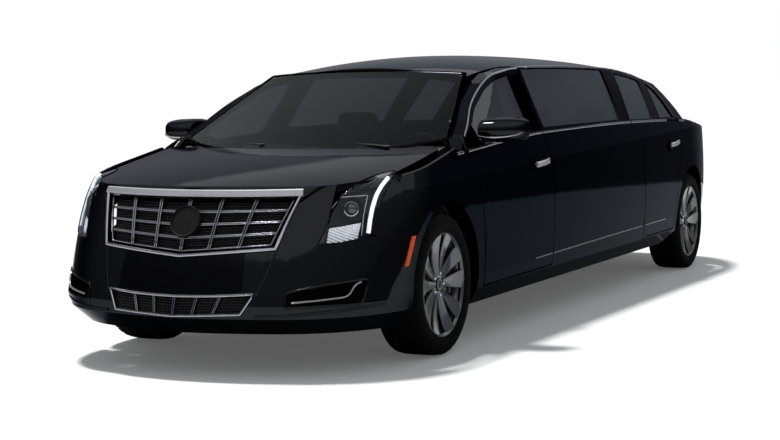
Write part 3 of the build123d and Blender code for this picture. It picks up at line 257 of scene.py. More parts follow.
class Surface:
    """Rays cast on to CAD nodes at rest. A hit is (point, normal, node)."""

    def __init__(self, *names):
        verts, polys, self.owner = [], [], []
        for name in names:
            mesh = NODES[name].data
            start = len(verts)
            verts += [v.co.copy() for v in mesh.vertices]
            polys += [[start + i for i in polygon.vertices] for polygon in mesh.polygons]
            self.owner += [name] * len(mesh.polygons)
        self.tree = BVHTree.FromPolygons(verts, polys)

    def cast(self, origin, direction):
        direction = Vector(direction).normalized()
        point, normal, index, _ = self.tree.ray_cast(Vector(origin), direction)
        if point is None:
            return None
        if normal.dot(direction) > 0:
            normal = -normal
        return point, normal, self.owner[index]

    def side(self, x, z):
        return self.cast((x, BESIDE, z), (0, -1, 0))

    def front(self, y, z):
        return self.cast((BEYOND, y, z), (-1, 0, 0))

    def back(self, y, z):
        return self.cast((-BEYOND, y, z), (1, 0, 0))

    def top(self, x, y):
        return self.cast((x, y, ABOVE), (0, 0, -1))

    def seen(self, px, py):
        """The place that shows at a pixel of the picture."""
        ray = Vector(((px - PICTURE_MIDDLE[0]) / FOCAL, (PICTURE_MIDDLE[1] - py) / FOCAL, -1))
        return self.cast(EYE, camera.matrix_world.to_3x3() @ ray)


def through(points, step):
    """Even 2-D points along straight runs."""
    out = [tuple(points[0])]
    for a, b in zip(points, points[1:]):
        count = max(1, round(math.hypot(b[0] - a[0], b[1] - a[1]) / step))
        out += [(a[0] + (b[0] - a[0]) * i / count, a[1] + (b[1] - a[1]) * i / count)
                for i in range(1, count + 1)]
    return out


def curved(points, step):
    """Even points along a smooth curve through 2-D points."""
    ends = [points[0]] + list(points) + [points[-1]]
    out = []
    for i in range(1, len(ends) - 2):
        p0, p1, p2, p3 = (Vector(p) for p in ends[i - 1:i + 3])
        count = max(1, round((p2 - p1).length / step))
        for k in range(count):
            t = k / count
            out.append(tuple(0.5 * (2 * p1 + (p2 - p0) * t + (2 * p0 - 5 * p1 + 4 * p2 - p3) * t * t
                                    + (3 * p1 - p0 - 3 * p2 + p3) * t ** 3)))
    return out + [tuple(points[-1])]


def runs(cast, points, shortest=4):
    """Hits along a path, parted where the path goes from one node to the next."""
    groups = []
    for p in points:
        hit = cast(*p)
        if hit is None:
            groups.append((None, []))
        elif groups and groups[-1][0] == hit[2]:
            groups[-1][1].append(hit[:2])
        else:
            groups.append((hit[2], [hit[:2]]))
    return [(node, path) for node, path in groups if node and len(path) >= shortest]


def evened(path, rounds=4):
    """The path with the steps between facets taken out."""
    path = [(p.copy(), n.copy()) for p, n in path]
    for _ in range(rounds):
        inner = [((a[0] + b[0] * 2 + c[0]) / 4, (a[1] + b[1] * 2 + c[1]).normalized())
                 for a, b, c in zip(path, path[1:], path[2:])]
        path = [path[0]] + inner + [path[-1]]
    return path


def hits_of(cast, points):
    """(point, normal) of each place that meets the surface."""
    found = [cast(*p) for p in points]
    return [hit[:2] for hit in found if hit]


# ------------------------------------------------------------------ mesh making
def new_piece(name, shape, material, body, smooth=True, sharp=None):
    """A piece on a body. Edges that turn by more than sharp degrees stay sharp."""
    verts, faces = shape
    mesh = bpy.data.meshes.new(name)
    mesh.from_pydata([tuple(v) for v in verts], [], faces)
    mesh.update()
    bm = bmesh.new()
    bm.from_mesh(mesh)
    bmesh.ops.recalc_face_normals(bm, faces=bm.faces)
    if sharp:
        limit = math.radians(sharp)
        for edge in bm.edges:
            if len(edge.link_faces) == 2 and edge.calc_face_angle(0) > limit:
                edge.smooth = False
    bm.to_mesh(mesh)
    bm.free()
    mesh.materials.append(MATS[material])
    if smooth:
        mesh.polygons.foreach_set("use_smooth", [True] * len(mesh.polygons))
    obj = bpy.data.objects.new(name, mesh)
    bpy.context.scene.collection.objects.link(obj)
    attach(obj, body)
    return obj


def across(shape):
    """The mirror image of a shape on the other side of the car."""
    verts, faces = shape
    return [(v[0], -v[1], v[2]) for v in verts], [tuple(reversed(face)) for face in faces]


def pair(name, shape, material, body, **more):
    """A piece on the car's left and its mirror image on the right."""
    left = new_piece(f"{name}_left", shape, material, body, **more)
    right = new_piece(f"{name}_right", across(shape), material, body.replace("left", "right"), **more)
    return left, right


def joined(*shapes):
    verts, faces = [], []
    for v, f in shapes:
        start = len(verts)
        verts += [tuple(p) for p in v]
        faces += [tuple(start + i for i in face) for face in f]
    return verts, faces


def sheet_faces(rows, size):
    """Faces of a grid of points, row after row."""
    return [(j * size + i, j * size + i + 1, (j + 1) * size + i + 1, (j + 1) * size + i)
            for j in range(rows - 1) for i in range(size - 1)]


def tube_faces(count, size, closed=False):
    """Faces between rings of points, ring after ring. closed joins the last ring to the first."""
    faces = []
    for i in range(count if closed else count - 1):
        j = (i + 1) % count
        for k in range(size):
            m = (k + 1) % size
            faces.append((i * size + k, i * size + m, j * size + m, j * size + k))
    return faces


def capped_faces(count, size):
    """Faces of a tube with both ends closed."""
    last = (count - 1) * size
    return tube_faces(count, size) + [tuple(range(size))[::-1], tuple(last + k for k in range(size))]


def turned_faces(segments, size):
    """Faces of a closed profile that goes all the way round."""
    faces = []
    for s in range(segments):
        t = (s + 1) % segments
        for k in range(size):
            m = (k + 1) % size
            faces.append((s * size + k, t * size + k, t * size + m, s * size + m))
    return faces


def swept(path, section, closed=False):
    """A (across, out) section carried along (point, normal) places."""
    verts = []
    count, size = len(path), len(section)
    for i, (point, normal) in enumerate(path):
        before = path[i - 1][0] if i or closed else point
        after = path[(i + 1) % count][0] if i < count - 1 or closed else point
        along = (after - before).normalized()
        side = along.cross(normal).normalized()
        out = side.cross(along).normalized()
        verts += [point + side * a + out * o for a, o in section]
    return verts, tube_faces(count, size, True) if closed else capped_faces(count, size)


def bead(width, height, sink=0.002):
    """Section of a strip with a rounded top."""
    half = width / 2
    return [(-half, -sink), (half, -sink), (half, height * 0.5), (half * 0.6, height * 0.92), (0, height),
            (-half * 0.6, height * 0.92), (-half, height * 0.5)]


def round_bar(radius, sides=10):
    return [(radius * math.cos(2 * math.pi * k / sides), radius * math.sin(2 * math.pi * k / sides))
            for k in range(sides)]


def symmetric(*corners):
    """Section from its right-hand corners, (half width, height) from the base up."""
    mirrored = [(-x, y) for x, y in corners]
    return mirrored[:1] + list(corners) + mirrored[:0:-1]


def turned(profile, segments=72):
    """A closed (along Y, radius) profile turned about the Y axis."""
    verts = []
    for s in range(segments):
        a = 2 * math.pi * s / segments
        verts += [(r * math.cos(a), y, r * math.sin(a)) for y, r in profile]
    return verts, turned_faces(segments, len(profile))


def block(x0, x1, y0, y1, z0, z1):
    verts = [(x, y, z) for x in (x0, x1) for y in (y0, y1) for z in (z0, z1)]
    faces = [(0, 1, 3, 2), (4, 6, 7, 5), (0, 4, 5, 1), (2, 3, 7, 6), (0, 2, 6, 4), (1, 5, 7, 3)]
    return verts, faces


def rod(a, b, radius, sides=12):
    a, b = Vector(a), Vector(b)
    normal = (b - a).orthogonal().normalized()
    return swept([(a, normal), (b, normal)], round_bar(radius, sides))


def placed(shape, matrix):
    return [matrix @ Vector(v) for v in shape[0]], shape[1]


def facing(point, normal):
    """Matrix that puts a shape turned about the Y axis at a point, facing along a normal."""
    return Matrix.Translation(point) @ Y_AXIS.rotation_difference(normal).to_matrix().to_4x4()


def along_edge(points, t):
    """The 2-D place a share t of the way along straight runs."""
    lengths = [math.hypot(b[0] - a[0], b[1] - a[1]) for a, b in zip(points, points[1:])]
    left = t * sum(lengths)
    for a, b, size in zip(points, points[1:], lengths):
        if left <= size or (a, b) == (points[-2], points[-1]):
            share = min(1, left / size) if size else 0
            return Vector((a[0] + (b[0] - a[0]) * share, a[1] + (b[1] - a[1]) * share))
        left -= size
    return Vector(points[-1])


def blended(low, high, left, right, nu, nv):
    """Grid of 2-D places between four edge lines.

    low and high run left to right, left and right run low to high.
    """
    grid = []
    for j in range(nv + 1):
        v = j / nv
        row = []
        for i in range(nu + 1):
            u = i / nu
            ruled = along_edge(low, u) * (1 - v) + along_edge(high, u) * v
            cross = along_edge(left, v) * (1 - u) + along_edge(right, v) * u
            corner = (Vector(low[0]) * (1 - u) + Vector(low[-1]) * u) * (1 - v)
            corner += (Vector(high[0]) * (1 - u) + Vector(high[-1]) * u) * v
            row.append(ruled + cross - corner)
        grid.append(row)
    return grid


def ruled(low, high, nu, nv):
    """Grid of 2-D places between two edge lines with straight ends."""
    return blended(low, high, [low[0], high[0]], [low[-1], high[-1]], nu, nv)


def laid(cast, grid, depth=0.0):
    """A sheet over a grid of 2-D places, set a depth in from the surface."""
    size = len(grid[0])
    spots = []
    for row in grid:
        hits = [cast(*p) for p in row]
        good = [i for i, hit in enumerate(hits) if hit]
        if good:
            spots += [hit or hits[min(good, key=lambda g: abs(g - i))] for i, hit in enumerate(hits)]
        else:
            spots += spots[-size:]
    return [hit[0] - hit[1] * depth for hit in spots], sheet_faces(len(grid), size)


def border(rows, size):
    """Indices of the points round the edge of a grid."""
    low = list(range(size))
    right = [j * size + size - 1 for j in range(1, rows)]
    high = [(rows - 1) * size + i for i in range(size - 2, -1, -1)]
    left = [j * size for j in range(rows - 2, 0, -1)]
    return low + right + high + left


def rim_of(grid):
    """The border of a grid, as one closed line of 2-D places."""
    flat = [tuple(place) for row in grid for place in row]
    return [flat[k] for k in border(len(grid), len(grid[0]))]


def thick(shape, depth, towards):
    """Closed plate: a sheet and its copy moved by depth along a direction, with its border closed."""
    verts, faces = shape
    shift = Vector(towards) * depth
    count = len(verts)
    edges = {}
    for face in faces:
        for a, b in zip(face, face[1:] + face[:1]):
            edges[(a, b)] = True
    sides = [(b, a, a + count, b + count) for a, b in edges if (b, a) not in edges]
    back = [tuple(reversed([i + count for i in face])) for face in faces]
    return [Vector(v) for v in verts] + [Vector(v) + shift for v in verts], list(faces) + back + sides


# ------------------------------------------------------------------ surfaces to lay pieces on
SIDE = Surface("front_fenders", "front_door_left", "rear_door_left", "side_panel_left", "rear_bumper",
               "front_bumper")
NOSE = Surface("front_bumper", "grille", "lower_grille", "headlights", "hood")
OUTSIDE = Surface("front_bumper", "headlights", "hood", "front_fenders")


def at(points, place=fore):
    """Side view table in millimetres from an axle, turned into frame metres."""
    return [(place(x / 1000), z / 1000) for x, z in points]


# ------------------------------------------------------------------ window trim and black pillars
STRIP_STEP = 0.02
WINDOW_TOP_LINE = at([(-410, 1070), (-545, 1138), (-720, 1238), (-975, 1338), (-1190, 1397), (-1450, 1430),
                      (-1580, 1440), (-1700, 1449), (-2400, 1460), (-3146, 1460), (-3372, 1455),
                      (-3700, 1441), (-4050, 1397), (-4134, 1378), (-4290, 1326), (-4396, 1240),
                      (-4464, 1165), (-4508, 1124)])
BELT_LINE = at([(-215, 990), (-254, 993), (-400, 1003), (-800, 1032), (-1240, 1058), (-1500, 1071),
                (-2200, 1088), (-2800, 1098), (-3215, 1102), (-3890, 1103), (-4250, 1099), (-4480, 1094)])
SILL_LINE = at([(-1250, 372), (-1700, 380), (-2600, 396), (-3500, 410), (-3900, 417)])
COVER, COVER_LIFT = 0.0012, 0.0015
COVERS = (  # name, node, low edge and high edge in the side view
    ("b_pillar_cover", "front_door_left", [(-1336, 1084), (-1498, 1088)], [(-1432, 1396), (-1584, 1412)]),
    ("c_pillar_cover", "side_panel_left", [(-3050, 1126), (-3212, 1120)], [(-3152, 1440), (-3356, 1436)]),
    ("c_pillar_door_cover", "rear_door_left",
     [(-3234, 1118), (-3262, 1120)], [(-3384, 1424), (-3406, 1424)]),
    ("d_pillar_cover", "rear_door_left", [(-3874, 1114), (-4030, 1112)], [(-3980, 1380), (-4084, 1368)]),
    ("sail_cover", "front_door_left", [(-405, 1022), (-572, 1032)], [(-425, 1070), (-572, 1126)]),
)


def trim(name, points, section, material):
    """Strip along a path on the body's side, in one piece for each node it crosses."""
    for number, (node, path) in enumerate(runs(SIDE.side, curved(points, STRIP_STEP))):
        pair(f"{name}_{number}", swept(evened(path), section), material, BODY_OF[node], sharp=40)


def window_trim():
    trim("window_top_trim", WINDOW_TOP_LINE, bead(0.012, 0.005), "window_metal")
    trim("belt_trim", BELT_LINE, bead(0.014, 0.006), "window_metal")
    trim("sill_trim", SILL_LINE, bead(0.012, 0.004), "sill_trim")


def pillar_covers():
    """Thin black plates over the pillars between the windows."""
    for name, node, low, high in COVERS:
        grid = ruled(at(low), at(high), 8, 8)
        cast = Surface(node).side
        middle = cast(*grid[len(grid) // 2][len(grid[0]) // 2])
        shape = thick(laid(cast, grid, -COVER_LIFT), COVER + COVER_LIFT, -middle[1])
        pair(name, shape, "piano_black", BODY_OF[node], sharp=40)


# ------------------------------------------------------------------ grilles
def nose_face():
    """Smooth surface through the nose: X as a polynomial of Y and Z, fitted to the CAD."""
    rows, values = [], []
    for i in range(-22, 23):
        for j in range(24):
            y, z = i * 0.024, 0.30 + j * 0.0235
            hit = NOSE.front(y, z)
            if hit and hit[0].x > fore(0.82) and hit[1].x > 0.6:
                rows.append([1, y * y, y ** 4, z, z * z, z ** 3, y * y * z])
                values.append(hit[0].x)
    return np.linalg.lstsq(np.array(rows), np.array(values), rcond=None)[0]


NOSE_TERMS = nose_face()


def nose(y, z, out=0.0):
    """Place and outward normal on the smooth nose."""
    a = NOSE_TERMS
    x = a[0] + a[1] * y * y + a[2] * y ** 4 + a[3] * z + a[4] * z * z + a[5] * z ** 3 + a[6] * y * y * z
    slope_y = 2 * a[1] * y + 4 * a[2] * y ** 3 + 2 * a[6] * y * z
    slope_z = a[3] + 2 * a[4] * z + 3 * a[5] * z * z + a[6] * y * y
    normal = Vector((1, -slope_y, -slope_z)).normalized()
    return Vector((x, y, z)) + normal * out, normal


def along_nose(line, section, out, closed=False):
    """A section carried along a line of (y, z) places, set out from the nose."""
    return swept([nose(y, z, out) for y, z in line], section, closed)


class Grille:
    """An opening with a straight raked side, a shallow V below and a low arch above, in (y, z) metres."""

    def __init__(self, half_top, top_end, top_middle, half_low, low_end, low_middle):
        self.half_top, self.top_end, self.top_middle = half_top, top_end, top_middle
        self.half_low, self.low_end, self.low_middle = half_low, low_end, low_middle

    def spot(self, u, v):
        """u from -1 to 1 across, v from 0 at the bottom to 1 at the top."""
        low = Vector((self.half_low * u, self.low_middle + (self.low_end - self.low_middle) * abs(u)))
        high = Vector((self.half_top * u, self.top_middle + (self.top_end - self.top_middle) * u * u))
        return tuple(low.lerp(high, v))

    def row(self, v, count=32, reach=1.0):
        return [self.spot((i / count * 2 - 1) * reach, v) for i in range(count + 1)]

    def column(self, u, start=0.0, end=1.0, count=8):
        return [self.spot(u, start + (end - start) * i / count) for i in range(count + 1)]


UPPER = Grille(0.532, 0.858, 0.852, 0.455, 0.592, 0.556)
LOWER = Grille(0.386, 0.391, 0.376, 0.334, 0.300, 0.286)
INNER = Grille(0.497, 0.818, 0.813, 0.432, 0.612, 0.580)
MESH_PITCH, MESH_WIRE = 0.0125, 0.0016


def mesh_screen(grille, depth):
    """Fine wire mesh behind the bars."""
    columns = int(grille.half_top * 2 / MESH_PITCH)
    rows = int((grille.top_middle - grille.low_middle) / MESH_PITCH)
    lines = [grille.column(i / columns * 2 - 1, 0.02, 0.98, 6) for i in range(1, columns)]
    lines += [grille.row(j / rows, 24, 0.99) for j in range(1, rows)]
    wire = round_bar(MESH_WIRE, 4)
    return joined(*[along_nose(line, wire, -depth) for line in lines])


def grille_shade_sheet(name, grille, depth):
    """Black sheet behind the mesh, near black and without reflection: painted shade of the deep grille
    opening.
    """
    grid = [grille.row(v, 24, 0.995) for v in (0.0, 0.25, 0.5, 0.75, 1.0)]
    verts = [nose(y, z, -depth)[0] for row in grid for y, z in row]
    sheet = thick((verts, sheet_faces(len(grid), len(grid[0]))), 0.004, (-1, 0, 0))
    new_piece(name, sheet, "painted_shade_black", "body")


def uprights(grille, places, half_gap, section, out):
    """Pairs of thin bars beside each upright's place, from -1 to 1 across."""
    columns = [grille.column(u + shift) for u in places for shift in (-half_gap, half_gap)]
    return [along_nose(column, section, out) for column in columns]


def upper_grille():
    section = [(-0.0175, -0.02), (0.0175, -0.02), (0.0175, 0.004),
               (0.012, 0.011), (-0.010, 0.012), (-0.0175, 0.006)]
    top = along_nose([(y, z - 0.017) for y, z in UPPER.row(1.0, 40)], section, 0.004)
    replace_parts(new_piece("grille_top_bar", top, "brushed_bar", "body", sharp=30), "grille")
    ring = symmetric((0.007, -0.02), (0.007, 0.006), (0.003, 0.010))
    foot = UPPER.row(0.0, 40)[::-1]
    loop = UPPER.column(1.0, 0.93, 0.0, 12)[:-1] + foot[:-1] + UPPER.column(-1.0, 0.0, 0.93, 12)
    new_piece("grille_frame", along_nose(loop, ring, 0.002), "chrome", "body", sharp=30)
    foot = INNER.row(0.0, 40)[::-1]
    loop = INNER.column(1.0, 1.0, 0.0, 10)[:-1] + foot[:-1] + INNER.column(-1.0, 0.0, 1.0, 10)
    new_piece("grille_inner_frame", along_nose(loop, bead(0.007, 0.006), -0.010), "dark_chrome", "body")
    rows = [INNER.row(v + shift, 40) for v in (0.25, 0.5, 0.75) for shift in (-0.014, 0.014)]
    bars = [along_nose(row, bead(0.0055, 0.007, 0.006), -0.008) for row in rows]
    bars += uprights(INNER, (-0.667, -0.333, 0.0, 0.333, 0.667), 0.012, bead(0.006, 0.009, 0.008), -0.006)
    new_piece("grille_bars", joined(*bars), "dark_chrome", "body")
    new_piece("grille_mesh", mesh_screen(INNER, 0.024), "mesh_black", "body")
    grille_shade_sheet("grille_shade_sheet", UPPER, 0.050)


DISC_HEIGHT, DISC_RADIUS = 0.709, 0.078


def grille_disc():
    """Plain dark disc in a ring, in the middle of the grille."""
    matrix = facing(*nose(0, DISC_HEIGHT, 0.004))
    r = DISC_RADIUS
    ring = turned([(-0.02, r - 0.009), (-0.02, r), (0.008, r), (0.012, r - 0.003), (0.010, r - 0.009)])
    face = turned([(-0.02, AXIS_GAP), (-0.02, r - 0.0095), (0.005, r - 0.0095), (0.0065, 0.04),
                   (0.007, AXIS_GAP)])
    for label, shape in (("ring", ring), ("face", face)):
        new_piece(f"grille_disc_{label}", placed(shape, matrix), "satin_black", "body", sharp=35)


def lower_grille():
    ring = symmetric((0.005, -0.018), (0.005, 0.004), (0.002, 0.007))
    loop = LOWER.row(1.0, 32) + LOWER.column(1.0, 1.0, 0.0)[1:] + LOWER.row(0.0, 32)[::-1][1:]
    loop += LOWER.column(-1.0, 0.0, 1.0)[1:-1]
    edge = along_nose(loop, ring, 0.001, closed=True)
    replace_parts(new_piece("lower_grille_frame", edge, "chrome", "body", sharp=30), "lower_grille")
    bars = uprights(LOWER, (-0.6, -0.3, 0.0, 0.3, 0.6), 0.012, bead(0.005, 0.008, 0.006), -0.010)
    new_piece("lower_grille_bars", joined(*bars), "dark_chrome", "body")
    new_piece("lower_grille_mesh", mesh_screen(LOWER, 0.020), "mesh_black", "body")
    grille_shade_sheet("lower_grille_shade_sheet", LOWER, 0.045)


BUMPER_EDGE = [(0.462, 0.590), (0.440, 0.50), (0.415, 0.42), (0.396, 0.386)]


def bumper_details():
    """Blank plate panel between the grilles, and the raised edge beside it."""
    across_places = (-1, -0.5, 0, 0.5, 1)
    high = [(y * 0.7, z - 0.012) for y, z in (UPPER.spot(u, 0) for u in across_places)]
    low = [(y * 0.86, z + 0.010) for y, z in (LOWER.spot(u, 1) for u in across_places)]
    grid = ruled(low, high, 24, 8)
    verts = [NOSE.front(*p)[0] + Vector((0.0025, 0, 0)) for row in grid for p in row]
    sheet = thick((verts, sheet_faces(len(grid), len(grid[0]))), 0.004, (-1, 0, 0))
    new_piece("plate_panel", sheet, "piano_black", "body", sharp=40)
    path = evened(hits_of(NOSE.front, through(BUMPER_EDGE, 0.02)))
    pair("bumper_edge", swept(path, bead(0.012, 0.004)), "black_paint", "body")


FOG_LOW_EDGE = [(284.5, 308.5), (320, 306.5), (362.4, 304)]
FOG_HIGH_EDGE = [(286.0, 293), (325, 285), (369.0, 278.5)]
FOG_STRIP = [(291.5, 303.6), (318, 300.8), (345, 297.4), (350, 294.5), (354, 285.2), (361, 281.8)]
MARKER_LOW, MARKER_HIGH = [(404.4, 267), (408.3, 265.6)], [(411.7, 236.4), (415.8, 235.6)]
CHIN_LINE = [(254, 317), (281, 316.6), (307, 314.2), (345, 310), (375, 305), (386, 303)]


def corner_details():
    """Fog lamp pocket as a flat near-black patch of painted shade, side marker and lip of the bumper's corner.
    """
    grid = ruled(FOG_LOW_EDGE, FOG_HIGH_EDGE, 20, 6)
    face = laid(OUTSIDE.seen, grid, -0.001)
    # Painted shade: a thin near-black plate on the bumper stands in for the shaded fog lamp pocket.
    pair("fog_pocket_shade", thick(face, 0.003, (-0.7, -0.7, 0)), "painted_shade_black", "body", sharp=40)
    rim_path = evened(hits_of(OUTSIDE.seen, through(rim_of(grid), 4)), 1)
    pair("fog_pocket_rim", swept(rim_path, bead(0.011, 0.006), closed=True), "black_paint", "body", sharp=50)
    path = [(p + n * 0.002, n) for p, n in evened(hits_of(OUTSIDE.seen, through(FOG_STRIP, 3)), 2)]
    pair("fog_strip", swept(path, bead(0.009, 0.006)), "dark_chrome", "body", sharp=50)
    marker = laid(SIDE.seen, ruled(MARKER_LOW, MARKER_HIGH, 4, 16), -0.004)
    pair("side_marker", thick(marker, 0.006, (0, -1, 0)), "amber_lens", "body", sharp=40)
    path = evened(hits_of(OUTSIDE.seen, curved(CHIN_LINE, 4)))
    pair("bumper_lip", swept(path, bead(0.014, 0.006)), "black_paint", "body", sharp=60)


# ------------------------------------------------------------------ headlights
LAMP_INNER = [(339.5, 198), (332, 213), (325, 230), (317.4, 245)]
LAMP_OUTER = [(396.5, 170.5), (389, 184), (381, 202), (376, 219), (373, 234)]
LAMP_TOP = [(339.5, 198), (346, 190), (361, 181), (380, 173.5), (396.5, 170.5)]
LAMP_LOW = [(317.4, 245), (345, 242.5), (362, 238.5), (373, 234)]
FILLER_OUTER = [(400.5, 171.5), (402, 190), (401, 222), (386, 238)]
GUIDE_LINE = [(387.9, 177.9), (381.5, 186), (376.5, 195), (372.5, 208), (370.2, 220), (368.6, 233)]
BUCKET_LINE = [(320.5, 243), (331.5, 209), (340.6, 197.5), (367.5, 195.5), (363.5, 215), (361.5, 236)]
REFLECTOR_LOW = [(323.5, 244.5), (340, 242.3), (357.5, 238.6)]
REFLECTOR_HIGH = [(329.5, 228.5), (345, 226), (361.0, 222.8)]
PROJECTOR_AT = (351.5, 209)
LENS_THICKNESS, LAMP_DEPTH, LAMP_BACK_SIZE = 0.003, 0.075, 0.93
BARREL = [(-0.05, 0.030), (-0.05, 0.050), (0.010, 0.052), (0.016, 0.048), (0.006, 0.036), (0.004, 0.030)]
BARREL_RING = [(0.004, 0.0300), (0.004, 0.0345), (0.010, 0.0345), (0.011, 0.0300)]
DOME_HEIGHT, DOME_RADIUS = 0.022, 0.0285


def beyond(place, distance):
    """A place moved on along the line of sight, so that it shows at the same spot of the picture."""
    place = Vector(place)
    return place + (place - EYE).normalized() * distance


def behind_lens(points, depth, step=3):
    return [(beyond(p, depth), n) for p, n in hits_of(OUTSIDE.seen, through(points, step))]


def headlight_shell():
    grid = blended(LAMP_LOW, LAMP_TOP, LAMP_INNER[::-1], LAMP_OUTER[::-1], 16, 14)
    verts, faces = laid(OUTSIDE.seen, grid, -0.001)
    lens = pair("headlight_lens", (verts, faces), "clear_lens", "body")
    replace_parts(lens[0], "headlights")
    deep = [beyond(v, LAMP_DEPTH) for v in verts]
    middle = sum(deep, Vector()) / len(deep)
    deep = [middle + (v - middle) * LAMP_BACK_SIZE for v in deep]
    count = len(verts)
    edge = border(len(grid), len(grid[0]))
    walls = [(a, b, count + b, count + a) for a, b in zip(edge, edge[1:] + edge[:1])]
    back = [tuple(count + i for i in face) for face in faces]
    housing = ([beyond(v, LENS_THICKNESS) for v in verts] + deep, walls + back)
    pair("headlight_housing", housing, "satin_black", "body", sharp=40)
    path = evened(hits_of(OUTSIDE.seen, through(rim_of(grid), 3)), 1)
    pair("headlight_bezel", swept(path, bead(0.006, 0.004), closed=True), "piano_black", "body", sharp=60)
    filler = blended([LAMP_OUTER[-1], FILLER_OUTER[-1]], [LAMP_OUTER[0], FILLER_OUTER[0]],
                     LAMP_OUTER[::-1], FILLER_OUTER[::-1], 6, 14)
    pair("headlight_side_panel", laid(OUTSIDE.seen, filler, -0.0006), "black_paint", "body")


def headlight_insides():
    guide = evened(behind_lens(GUIDE_LINE, 0.012, 2), 2)
    pair("headlight_guide", swept(guide, bead(0.017, 0.008, 0.008)), "light_guide", "body")
    bucket = swept(behind_lens(BUCKET_LINE, 0.014), bead(0.005, 0.004, 0.004))
    pair("headlight_bucket_edge", bucket, "chrome", "body")
    columns = 24
    verts, faces = laid(OUTSIDE.seen, ruled(REFLECTOR_LOW, REFLECTOR_HIGH, columns, 12))
    facets = []
    for k, v in enumerate(verts):
        row, column = divmod(k, columns + 1)
        ripple = 0.004 * ((row + column // 2) % 2) + 0.002 * (column % 2)
        facets.append(beyond(v, 0.024 + ripple))
    # The reflector's faint glow is a painted reflection.
    pair("headlight_reflector", (facets, faces), "lamp_reflector_painted_glow", "body", smooth=False)


def projector():
    """Round projector lamp in its barrel, facing a little outwards."""
    matrix = facing(beyond(OUTSIDE.seen(*PROJECTOR_AT)[0], 0.045), Vector((0.93, 0.34, 0.05)).normalized())
    angles = [math.radians(a) for a in range(0, 91, 10)]
    dome = [(-0.004, AXIS_GAP), (-0.004, 0.029)]
    dome += [(DOME_HEIGHT * math.sin(a), AXIS_GAP + DOME_RADIUS * math.cos(a)) for a in angles]
    parts = (("barrel", BARREL, "piano_black", 40), ("ring", BARREL_RING, "chrome", 40),
             ("lens", dome, "projector_lens", 60))
    for label, profile, material, sharp in parts:
        pair(f"projector_{label}", placed(turned(profile, 48), matrix), material, "body", sharp=sharp)


# ------------------------------------------------------------------ wheels
TYRE_RADIUS, TYRE_HALF = 0.3515, 0.1225
TYRE_SIDE = [(0.098, 0.2575), (0.1065, 0.2605), (0.1150, 0.270), (TYRE_HALF - 0.001, 0.292), (0.1205, 0.312),
             (0.116, 0.328), (0.109, 0.3395), (0.100, 0.3455), (0.078, 0.3490)]
TREAD = [(0.066, 0.3500), (0.064, 0.3420), (0.055, 0.3420), (0.053, 0.3508), (0.028, TYRE_RADIUS - 0.0003),
         (0.026, 0.3432), (0.016, 0.3432), (0.014, TYRE_RADIUS), (0.0, TYRE_RADIUS)]
TYRE_SEGMENTS, BLOCK_SEGMENTS, BLOCK_CUT = 160, 4, 0.007
SPOKE_PAIRS, SPOKE_SPREAD, SPOKE_LEAN = 5, 17.0, 0.0035
SPOKE = (  # radius, half width, face, depth
    (0.046, 0.015, 0.082, 0.030), (0.090, 0.021, 0.080, 0.026), (0.150, 0.031, 0.084, 0.022),
    (0.205, 0.041, 0.094, 0.020), (0.250, 0.049, 0.106, 0.014))
BARREL_OF_RIM = [(0.106, 0.250), (0.110, 0.2535), (0.109, 0.2582), (0.098, 0.2585), (0.090, 0.243),
                 (-0.085, 0.243), (-0.100, 0.2585), (-0.104, 0.2585), (-0.104, 0.250), (-0.088, 0.234),
                 (0.030, 0.226), (0.072, 0.228), (0.092, 0.238)]
HUB = [(0.010, 0.0330), (0.010, 0.066), (0.062, 0.066), (0.076, 0.058), (0.080, 0.045), (0.078, 0.0330)]
NUT = [(0.060, AXIS_GAP), (0.060, 0.0095), (0.0815, 0.0090), (0.084, 0.0065), (0.084, AXIS_GAP)]
NUT_CIRCLE, NUTS = 0.0565, 5
CAP = [(0.030, AXIS_GAP), (0.030, 0.0325), (0.082, 0.0325), (0.0855, 0.029), (0.087, AXIS_GAP)]
DISC_EDGE = 0.168
DISC = [(0.030, 0.085), (0.030, DISC_EDGE), (0.052, DISC_EDGE), (0.052, 0.085)]
BELL = [(0.034, 0.062), (0.034, 0.086), (0.058, 0.086), (0.062, 0.062)]


def tyre():
    """Grooved tyre about the Y axis, with blocks cut in its shoulders."""
    half = TYRE_SIDE + TREAD
    profile = half + [(-y, r) for y, r in half[-2::-1]] + [(-0.098, 0.236), (0.098, 0.236)]
    shoulder = {i for i, (y, r) in enumerate(profile) if 0.076 < abs(y) < 0.113 and r > 0.33}
    verts = []
    for s in range(TYRE_SEGMENTS):
        a = 2 * math.pi * s / TYRE_SEGMENTS
        for i, (y, r) in enumerate(profile):
            if i in shoulder and s % BLOCK_SEGMENTS == 0:
                r -= BLOCK_CUT
            verts.append((r * math.cos(a), y, r * math.sin(a)))
    return verts, turned_faces(TYRE_SEGMENTS, len(profile))


def spoke(angle, turn):
    """Flat blade from the hub to the rim, outward is +Y."""
    lean = SPOKE_LEAN * turn
    verts = []
    for radius, half, face, depth in SPOKE:
        ring = [(-half, face - 0.004 - lean), (-half + 0.005, face - lean), (half - 0.005, face + lean),
                (half, face - 0.004 + lean), (half * 0.7, face - depth), (-half * 0.7, face - depth)]
        verts += [(x, y, radius) for x, y in ring]
    shape = verts, capped_faces(len(SPOKE), len(ring))
    return placed(shape, Matrix.Rotation(math.radians(angle), 4, "Y"))


def rim():
    middles = [360 / SPOKE_PAIRS * number for number in range(SPOKE_PAIRS)]
    spokes = [spoke(middle + SPOKE_SPREAD * turn, -turn) for middle in middles for turn in (-1, 1)]
    return joined(turned(BARREL_OF_RIM, 96), turned(HUB, 60), *spokes)


def wheel_nuts():
    nuts = []
    for k in range(NUTS):
        a = math.radians(360 / NUTS * k + 36)
        place = Matrix.Translation((NUT_CIRCLE * math.cos(a), 0, NUT_CIRCLE * math.sin(a)))
        nuts.append(placed(turned(NUT, 6), place))
    return joined(*nuts)


